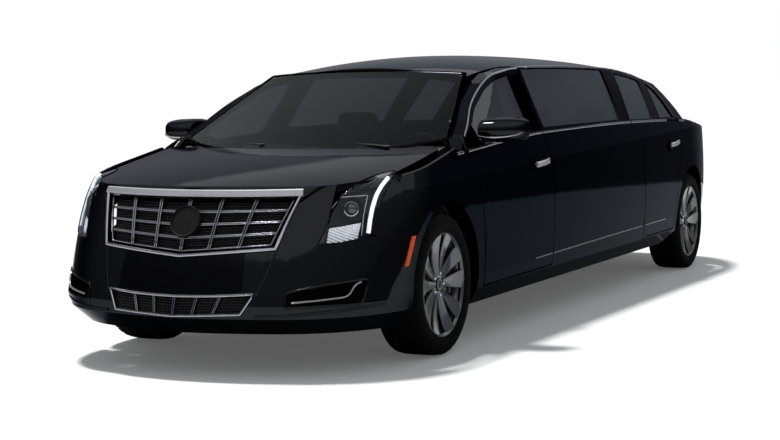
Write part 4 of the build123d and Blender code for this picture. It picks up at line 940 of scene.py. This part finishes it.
def wheels():
    parts = (("wheel_tyre", tyre(), "tyre_rubber", 38), ("wheel_rim", rim(), "rim_alloy", 30),
             ("wheel_nuts", wheel_nuts(), "chrome", 30), ("wheel_cap", turned(CAP, 48), "satin_black", 30),
             ("brake_disc", joined(turned(DISC, 96), turned(BELL)), "disc_steel", 30))
    for end, x in (("front", fore(0)), ("rear", tail(0))):
        matrix = Matrix.Translation((x, HALF_TRACK, AXLE_HEIGHT))
        for label, shape, material, sharp in parts:
            made = pair(f"{end}_{label}", placed(shape, matrix), material, f"{end}_wheel_left", sharp=sharp)
            if label in ("wheel_tyre", "wheel_rim"):
                for hand, piece in zip(("left", "right"), made):
                    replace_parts(piece, f"{end}_{label[6:]}_{hand}")


# ------------------------------------------------------------------ windscreen
SCREEN_LEVELS = (  # height, X in the middle, X and Y at the edge
    (0.960, 0.053, -0.150, 0.834), (1.240, -0.558, -0.672, 0.690), (1.560, -1.257, -1.287, 0.530))
SCREEN_EDGE = ((-0.060, 0.838), (-0.300, 0.793), (-0.690, 0.690), (-1.008, 0.602))  # X, half width
SCREEN_INSET = 0.0075 / math.sin(math.radians(24.5))
SCREEN_FOOT, SCREEN_CORNER_RISE = 1.006, 0.060  # the corners clear the open hood
SCREEN_HEAD, SCREEN_HEAD_BOW = -0.984, 0.024
SCREEN_COLUMNS, SCREEN_ROWS = 40, 30


def parabola(z, column):
    (a, fa), (b, fb), (c, fc) = ((level[0], level[column]) for level in SCREEN_LEVELS)
    return (fa * (z - b) * (z - c) / ((a - b) * (a - c)) + fb * (z - a) * (z - c) / ((b - a) * (b - c))
            + fc * (z - a) * (z - b) / ((c - a) * (c - b)))


def screen_x(y, z):
    """X of the glass, forward of the front axle: an arc across the car at each height."""
    middle, edge_x, edge_y = parabola(z, 1), parabola(z, 2), parabola(z, 3)
    drop = middle - edge_x
    radius = (drop * drop + edge_y * edge_y) / (2 * drop)
    return middle - radius + math.sqrt(max(0.0, radius * radius - y * y)) - SCREEN_INSET


def screen_half(x):
    """Half the width of the glass at a place along it."""
    for (x0, y0), (x1, y1) in zip(SCREEN_EDGE, SCREEN_EDGE[1:]):
        if x >= x1 or x1 == SCREEN_EDGE[-1][0]:
            return y0 + (y1 - y0) * (x - x0) / (x1 - x0) - 0.002


def screen_place(u, v):
    """Frame place on the glass, u from -1 to 1 across and v from 0 at the foot to 1 at the head."""
    x = -0.1 - 0.9 * v
    foot = SCREEN_FOOT + SCREEN_CORNER_RISE * abs(u) ** 3
    for _ in range(12):
        y = u * screen_half(x)
        head = SCREEN_HEAD - SCREEN_HEAD_BOW * (abs(y) / 0.602) ** 2
        top = 1.2
        for _ in range(14):
            top += (screen_x(y, top) - head) * 0.44
        z = foot + (top - foot) * v
        x = screen_x(y, z)
    return fore(x), y, z


def windscreen_glass():
    size, rows = SCREEN_COLUMNS + 1, SCREEN_ROWS + 1
    verts = [screen_place(i / SCREEN_COLUMNS * 2 - 1, j / SCREEN_ROWS)
             for j in range(rows) for i in range(size)]
    shape = thick((verts, sheet_faces(rows, size)), 0.005, (-0.42, 0, -0.91))
    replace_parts(new_piece("windscreen_glass", shape, "screen_glass", "body", sharp=40), "windscreen")
    edge = [Vector(verts[k]) for k in border(rows, size)]
    path = [(p, Vector((0.42, 0.2 * p.y, 0.9)).normalized()) for p in edge]
    seal = swept(path, bead(0.022, 0.003, 0.006), closed=True)
    new_piece("windscreen_seal", seal, "piano_black", "body", sharp=40)


PILLAR_FOOT_LOW = ((-0.208, 0.856, 1.002), (-0.270, 0.868, 1.006), (-0.334, 0.871, 1.010))
PILLAR_FOOT_HIGH = ((-0.290, 0.806, 1.062), (-0.340, 0.812, 1.076), (-0.384, 0.818, 1.088))
PILLAR_FOOT_ROWS, PILLAR_FOOT_SWELL = 6, 0.006


def pillar_feet():
    """Smooth foot of the windscreen pillar, over the joint of wing, cowl and body side."""
    verts = []
    for j in range(PILLAR_FOOT_ROWS + 1):
        share = j / PILLAR_FOOT_ROWS
        for low, high in zip(PILLAR_FOOT_LOW, PILLAR_FOOT_HIGH):
            place = Vector(low).lerp(Vector(high), share)
            verts.append((fore(place.x), place.y + PILLAR_FOOT_SWELL * math.sin(math.pi * share), place.z))
    sheet = verts, sheet_faces(PILLAR_FOOT_ROWS + 1, len(PILLAR_FOOT_LOW))
    pair("pillar_foot", thick(sheet, 0.004, (0, -0.8, -0.6)), "black_paint", "body", sharp=50)


# ------------------------------------------------------------------ door handles
HANDLES = (  # door, X and Z of the grip's front end, X and Z of its rear end
    ("front_door_left", -1.240, 0.894, -1.440, 0.911), ("rear_door_left", -3.985, 0.928, -4.185, 0.947))
CUP_LENGTH, CUP_HEIGHT, CUP_SIDES, CUP_LIFT, CUP_EDGE = 0.062, 0.048, 28, 0.0012, 0.0002
CUP_BACK, CUP_DROP = 0.012, 0.004
GRIP = symmetric((0.014, -0.004), (0.016, 0.002), (0.012, 0.009))
GRIP_HEIGHT, GRIP_STEPS = 0.024, 16


def handle_cup_shade(surface, x, z):
    """Oval dish behind the grip, a thin near-black plate on the skin: painted shade of the recess behind the
    grip.
    """
    centre = surface.side(fore(x), z)
    verts = [centre[0] + centre[1] * CUP_LIFT]
    for share in (0.5, 0.8, 1.0):
        for k in range(CUP_SIDES):
            a = 2 * math.pi * k / CUP_SIDES
            ahead, above = CUP_LENGTH * math.cos(a) * share, CUP_HEIGHT * math.sin(a) * share
            place = surface.side(fore(x + ahead), z + above)
            verts.append(place[0] + place[1] * (CUP_LIFT if share < 1 else CUP_EDGE))
    turns = [(k, (k + 1) % CUP_SIDES) for k in range(CUP_SIDES)]
    faces = [(0, 1 + a, 1 + b) for a, b in turns]
    for start in (1, 1 + CUP_SIDES):
        faces += [(start + a, start + a + CUP_SIDES, start + b + CUP_SIDES, start + b) for a, b in turns]
    return thick((verts, faces), 0.0015, -centre[1])


def door_handles():
    for node, x0, z0, x1, z1 in HANDLES:
        surface = Surface(node)
        label, body = node.replace("_door_left", "_handle"), BODY_OF[node]
        # Painted shade: the cup is a near-black plate where the recess behind the grip is in shade.
        pair(f"{label}_cup", handle_cup_shade(surface, x0 + CUP_BACK, z0 - CUP_DROP), "painted_shade_black", body, sharp=40)
        path = []
        for i in range(GRIP_STEPS + 1):
            t = i / GRIP_STEPS
            point, normal, _ = surface.side(fore(x0 + (x1 - x0) * t), z0 + (z1 - z0) * t)
            bow = math.sin(math.pi * min(1, 0.10 + t * 0.80)) ** 0.5
            path.append((point + normal * (GRIP_HEIGHT * bow), normal))
        path = evened(path, 2)
        # The grip's pale, partly diffuse chrome carries a painted highlight.
        pair(f"{label}_bar", swept(path, GRIP), "chrome_with_painted_highlight", body, sharp=50)
        feet = [rod(p - n * 0.001, p - n * 0.034, 0.010, 16) for p, n in (path[1], path[-2])]
        pair(f"{label}_feet", joined(*feet), "satin_black", body, sharp=50)


# ------------------------------------------------------------------ mirrors
MIRROR_RINGS = (  # Y, front X, rear X, low Z and high Z of the head
    (0.868, -0.522, -0.700, 1.052, 1.155), (0.880, -0.503, -0.712, 1.043, 1.163),
    (0.920, -0.506, -0.716, 1.036, 1.168), (0.970, -0.516, -0.716, 1.036, 1.168),
    (1.020, -0.532, -0.716, 1.040, 1.166), (1.060, -0.560, -0.714, 1.048, 1.160),
    (1.082, -0.600, -0.708, 1.060, 1.150), (1.090, -0.645, -0.700, 1.078, 1.138))
MIRROR_SIDES = 25
PANE_X = -0.7165
PANE = ((0.900, 1.056), (1.060, 1.062), (1.070, 1.075), (1.070, 1.135), (1.058, 1.148), (0.900, 1.150),
        (0.888, 1.138), (0.888, 1.068))
MIRROR_ARM = ((-0.640, 0.800, 1.046), (-0.630, 0.850, 1.046), (-0.622, 0.900, 1.052), (-0.622, 0.940, 1.060))
ARM_SECTION = symmetric((0.050, -0.012), (0.058, 0.0), (0.045, 0.014))
MIRROR_FOOT = ((-0.575, 1.030), (-0.735, 1.036), (-0.715, 1.066), (-0.600, 1.058))


def mirror_ring(y, front, rear, low, high):
    """Rounded in front, flat at the back."""
    middle, half, points = (low + high) / 2, (high - low) / 2, []
    for k in range(MIRROR_SIDES):
        a = -math.pi / 2 + math.pi * k / (MIRROR_SIDES - 1)
        x = rear + (front - rear) * max(0.0, math.cos(a)) ** 0.62
        z = middle + half * math.copysign(abs(math.sin(a)) ** 0.72, math.sin(a))
        points.append((fore(x), y, z))
    return points


def mirror_arm():
    """Arm under the head, with its foot on the door's skin."""
    arm = swept([(Vector((fore(x), y, z)), Vector((0, 0, 1))) for x, y, z in MIRROR_ARM], ARM_SECTION)
    foot = [(fore(x), y, z) for y in (0.84, 0.888) for x, z in MIRROR_FOOT]
    faces = [(0, 1, 2, 3), (7, 6, 5, 4), (0, 4, 5, 1), (1, 5, 6, 2), (2, 6, 7, 3), (3, 7, 4, 0)]
    return joined(arm, (foot, faces))


def mirrors():
    head = [place for ring in MIRROR_RINGS for place in mirror_ring(*ring)]
    head = head, capped_faces(len(MIRROR_RINGS), MIRROR_SIDES)
    pane = thick(([(fore(PANE_X), y, z) for y, z in PANE], [tuple(range(len(PANE)))]), 0.003, (-1, 0, 0))
    ahead = Vector((1, 0, -0.15)).normalized()
    line = swept([(Vector((fore(front - 0.006), y, low + 0.030)), ahead)
                  for y, front, _, low, _ in MIRROR_RINGS[1:-1]], bead(0.010, 0.006, 0.004))
    parts = (("head", head, "black_paint", 40), ("glass", pane, "mirror_glass", 30),
             ("arm", mirror_arm(), "satin_black", 40), ("line", line, "chrome", 40))
    for label, shape, material, sharp in parts:
        made = pair(f"mirror_{label}", shape, material, "front_door_left", sharp=sharp)
        if label == "head":
            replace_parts(made[0], "door_mirror_left")
            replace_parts(made[1], "door_mirror_right")


# ------------------------------------------------------------------ wipers
WIPERS = (  # name, X and Y of the pivot, X and Y of the tip
    ("driver", (-0.150, 0.52), (-0.300, -0.13)), ("passenger", (-0.150, -0.20), (-0.355, -0.70)))
WIPER_STEPS, WIPER_LIFT = 16, 0.016
BLADE = symmetric((0.006, -0.013), (0.008, 0.0), (0.003, 0.008))
WIPER_ARM = symmetric((0.011, 0.004), (0.009, 0.014))
KNOB = [(-0.014, AXIS_GAP), (-0.014, 0.020), (0.014, 0.018), (0.018, AXIS_GAP)]


def wipers():
    surface = Surface("windscreen", "cowl_panel", "hood")
    for label, (x0, y0), (x1, y1) in WIPERS:
        shares = [i / WIPER_STEPS for i in range(WIPER_STEPS + 1)]
        hits = hits_of(surface.top, [(fore(x0 + (x1 - x0) * t), y0 + (y1 - y0) * t) for t in shares])
        path = evened([(p + n * WIPER_LIFT, n) for p, n in hits], 4)
        shape = joined(swept(path[5:], BLADE), swept(path[:10], WIPER_ARM),
                       placed(turned(KNOB, 24), facing(*path[0])))
        new_piece(f"wiper_{label}", shape, "satin_black", "body", sharp=40)


# ------------------------------------------------------------------ cabin
PAD_SIDES, PAD_ROWS, PAD_SQUARENESS, PAD_CROWN = 40, 24, 0.42, 0.16
SEAMS, SEAM_DEPTH, SEAM_WIDTH = (-0.55, -0.18, 0.18, 0.55), 0.10, 0.035
SEATS = (  # name, seat row, the axle its X is from, X, Y, width
    ("driver_seat", "front", fore, -1.05, 0.40, 0.52),
    ("passenger_seat", "front", fore, -1.05, -0.40, 0.52),
    ("rear_seat_left", "rear", tail, 0.90, 0.226, 0.44),
    ("rear_seat_right", "rear", tail, 0.90, -0.226, 0.44))


def squarish(value):
    return math.copysign(abs(value) ** PAD_SQUARENESS, value)


def cushion(size, matrix, seams):
    """Crowned closed pad: sides pull in between its corners, with sewn channels across it."""
    verts = []
    for j in range(PAD_ROWS + 1):
        b = -math.pi / 2 + math.pi * j / PAD_ROWS
        for i in range(PAD_SIDES):
            a = 2 * math.pi * i / PAD_SIDES
            x = squarish(math.cos(a)) * squarish(math.cos(b))
            y = squarish(math.sin(a)) * squarish(math.cos(b))
            z = squarish(math.sin(b))
            side = y * (1 - 0.035 * (1 - x * x))
            x *= 1 - 0.045 * (1 - y * y)
            bulge = 1 + PAD_CROWN * (1 - x * x) * (1 - y * y)
            dip = sum(SEAM_DEPTH * math.exp(-((y - s) / SEAM_WIDTH) ** 2) for s in seams)
            top = z * (bulge - dip if z > 0 else 1)
            verts.append(matrix @ Vector((x * size[0] / 2, side * size[1] / 2, top * size[2] / 2)))
    return verts, tube_faces(PAD_ROWS + 1, PAD_SIDES)


def posed(x, y, z, lean):
    """Matrix of a pad at a place, leaning about the Y axis by so many degrees."""
    return Matrix.Translation((x, y, z)) @ Matrix.Rotation(math.radians(lean), 4, "Y")


def seat_pads(label, axle, x, y, width):
    for name, size, matrix, seams in (
            ("cushion", (0.52, width, 0.17), posed(axle(x - 0.25), y, 0.398, -4), SEAMS),
            ("backrest", (0.66, width, 0.15), posed(axle(x - 0.575), y, 0.705, 76), SEAMS),
            ("head_restraint", (0.19, 0.25, 0.11), posed(axle(x - 0.655), y, 1.100, 84), ())):
        pad = new_piece(f"{label}_{name}", cushion(size, matrix, seams), "seat_leather", "body")


def seat_frame(axle, x, y, width):
    posts = [rod((axle(x - 0.635), y + shift, 0.94), (axle(x - 0.655), y + shift, 1.09), 0.007)
             for shift in (-0.06, 0.06)]
    base = block(axle(x - 0.46), axle(x - 0.06), y - width / 2 + 0.05, y + width / 2 - 0.05, 0.257, 0.330)
    return joined(base, *posts)


def cabin():
    for label, _, *place in SEATS:
        seat_pads(label, *place)
    for row in ("front", "rear"):
        frames = joined(*[seat_frame(*place) for _, seat_row, *place in SEATS if seat_row == row])
        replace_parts(new_piece(f"{row}_seat_frames", frames, "satin_black", "body", sharp=30), f"{row}_seats")
    belts = [rod((fore(-1.585), y, 0.55), (fore(-1.60), y * 0.95, 1.05), 0.008) for y in (0.66, -0.66)]
    new_piece("belt_straps", joined(*belts), "satin_black", "body", sharp=40)


# ------------------------------------------------------------------ tail
REAR = Surface("rear_bumper", "trunk_lid", "tail_lamps")
LID = Surface("trunk_lid")
LAMPS = Surface("tail_lamps")
TAIL_PIPE_PLACES = ((0.50, 0.280), (-0.50, 0.280))
TIP = [(-0.02, 0.040), (-0.02, 0.046), (0.016, 0.047), (0.018, 0.043), (0.016, 0.040)]
PLATE_HALF, PLATE_LOW, PLATE_HIGH, PLATE_DEPTH = 0.26, 0.77, 0.885, 0.004


def level_line(z, start, end):
    """(y, z) places every 2 cm, with start and end in centimetres."""
    return [(y / 100, z) for y in range(start, end, 2)]


def tail_strips():
    """Bright strips across the boot lid and under the bumper."""
    strips = (("lid_bar", LID.back, level_line(0.965, -62, 63), bead(0.020, 0.008), "trunk_lid"),
              ("rear_lip", REAR.back, level_line(0.335, -60, 61), bead(0.016, 0.008), "body"))
    for name, cast, line, section, body in strips:
        new_piece(name, swept(evened(hits_of(cast, line), 6), section), "chrome", body, sharp=50)


def exhaust_tips():
    lengthwise = Matrix.Rotation(math.radians(90), 4, "Z") @ Matrix.Scale(1.5, 4, (1, 0, 0))
    tips = [placed(turned(TIP, 40), Matrix.Translation(REAR.back(*place)[0]) @ lengthwise)
            for place in TAIL_PIPE_PLACES]
    new_piece("exhaust_tips", joined(*tips), "chrome", "body", sharp=40)


def plate_recess():
    """Blank place for a plate on the boot lid."""
    low, high = (LID.back(-PLATE_HALF, z)[0].x - PLATE_DEPTH for z in (PLATE_LOW, PLATE_HIGH))
    verts = [(low, -PLATE_HALF, PLATE_LOW), (low, PLATE_HALF, PLATE_LOW),
             (high, PLATE_HALF, PLATE_HIGH), (high, -PLATE_HALF, PLATE_HIGH)]
    plate = thick((verts, [(0, 1, 2, 3)]), 0.006, (1, 0, 0))
    new_piece("plate_recess", plate, "satin_black", "trunk_lid", sharp=30)


def tail_lamp_lines():
    heights = (0.90, 0.935, 0.97, 1.005, 1.04)
    paths = [hits_of(LAMPS.back, level_line(z, 57, 86)) for z in heights]
    lines = [swept(evened(path, 2), bead(0.006, 0.003)) for path in paths if len(path) > 4]
    pair("tail_lamp_lines", joined(*lines), "lamp_red", "body", sharp=50)


for build in (windscreen_glass, pillar_feet, window_trim, pillar_covers, upper_grille, grille_disc,
              lower_grille, bumper_details, corner_details, headlight_shell, headlight_insides, projector,
              wheels, door_handles, mirrors, wipers, cabin, tail_strips, exhaust_tips, plate_recess,
              tail_lamp_lines):
    build()

# ------------------------------------------------------------------ floor, world and lights
CARD_COUNT, CARD_DISTANCE, CARD_HEIGHT = 48, 14.0, 7.0
CARD_STOPS = (  # share of the height, glow
    (0.0, 0.13), (0.34, 0.16), (0.45, 0.23), (0.75, 0.31), (1.0, 0.36))
CARD_TINT = (0.95, 0.98, 1.14)
FLOOR_SIZE, FLOOR_DROP, FLOOR_GLOW = 160, 0.0005, 0.09
WORLD_LIGHT, WORLD_STRENGTH = (0.96, 0.98, 1.0, 1), 0.32
SUN_STRENGTH, SUN_ANGLE, SUN_AIM = 3.0, 7, (0.20, 0.30, -1)


def floor():
    """Pale floor that the camera sees a little brighter."""
    bpy.ops.mesh.primitive_plane_add(size=FLOOR_SIZE, location=(0, 0, -FLOOR_DROP))
    ground = bpy.context.object
    ground.name = "floor"
    mat, nodes = new_material("floor_white")
    base = nodes.add("BsdfPrincipled", {"Base Color": (0.90, 0.90, 0.90, 1), "Roughness": 0.9,
                                        "Specular IOR Level": 0.1})[0]
    to_camera = nodes.add("LightPath")["Is Camera Ray"]
    strength = nodes.add("Math", {0: to_camera, 1: FLOOR_GLOW}, operation="MULTIPLY")[0]
    glow = nodes.add("Emission", {"Strength": strength})[0]
    both = nodes.add("AddShader", {0: base, 1: glow})[0]
    nodes.add("OutputMaterial", {0: both})
    ground.data.materials.append(mat)


def card_glow():
    """Grey glow that changes with height."""
    mat, nodes = new_material("card_glow")
    place = nodes.add("TexCoord")["Object"]
    height = nodes.add("SeparateXYZ", {0: place})["Z"]
    share = nodes.add("MapRange", {0: height, 2: CARD_HEIGHT})[0]
    stops = [(position, tuple(value * tint for tint in CARD_TINT)) for position, value in CARD_STOPS]
    glow = nodes.add("Emission", {"Color": nodes.ramp(share, stops)})[0]
    nodes.add("OutputMaterial", {0: glow})
    return mat


def studio_cards():
    """Ring of grey cards that only reflections see."""
    turns = [2 * math.pi * k / CARD_COUNT for k in range(CARD_COUNT)]
    verts = [(CARD_DISTANCE * math.cos(a), CARD_DISTANCE * math.sin(a), z)
             for z in (0.0, CARD_HEIGHT) for a in turns]
    nexts = [(k, (k + 1) % CARD_COUNT) for k in range(CARD_COUNT)]
    faces = [(a, b, CARD_COUNT + b, CARD_COUNT + a) for a, b in nexts]
    mesh = bpy.data.meshes.new("studio_cards")
    mesh.from_pydata(verts, [], faces)
    mesh.materials.append(card_glow())
    cards = bpy.data.objects.new("studio_cards", mesh)
    bpy.context.scene.collection.objects.link(cards)
    for ray in ("camera", "diffuse", "transmission", "shadow", "volume_scatter"):
        setattr(cards, f"visible_{ray}", False)


def world():
    """White to the camera, in reflections and through glass, and a dimmer light on surfaces."""
    studio = bpy.data.worlds.new("studio")
    bpy.context.scene.world = studio
    nodes = Nodes(studio)
    rays = nodes.add("LightPath")
    shows = rays["Is Camera Ray"]
    for kind in ("Is Glossy Ray", "Is Transmission Ray"):
        shows = nodes.add("Math", {0: shows, 1: rays[kind]}, operation="MAXIMUM")[0]
    light = nodes.add("Background", {0: WORLD_LIGHT, 1: WORLD_STRENGTH})[0]
    white = nodes.add("Background", {0: (1, 1, 1, 1), 1: 1.0})[0]
    mixed = nodes.add("MixShader", {0: shows, 1: light, 2: white})[0]
    nodes.add("OutputWorld", {0: mixed})


def key_light():
    """Broad sun for the soft shadow."""
    sun = bpy.data.lights.new("key", "SUN")
    sun.energy = SUN_STRENGTH
    sun.angle = math.radians(SUN_ANGLE)
    lamp = bpy.data.objects.new("key", sun)
    lamp.rotation_euler = Vector(SUN_AIM).to_track_quat("-Z", "Y").to_euler()
    bpy.context.scene.collection.objects.link(lamp)


floor()
studio_cards()
world()
key_light()
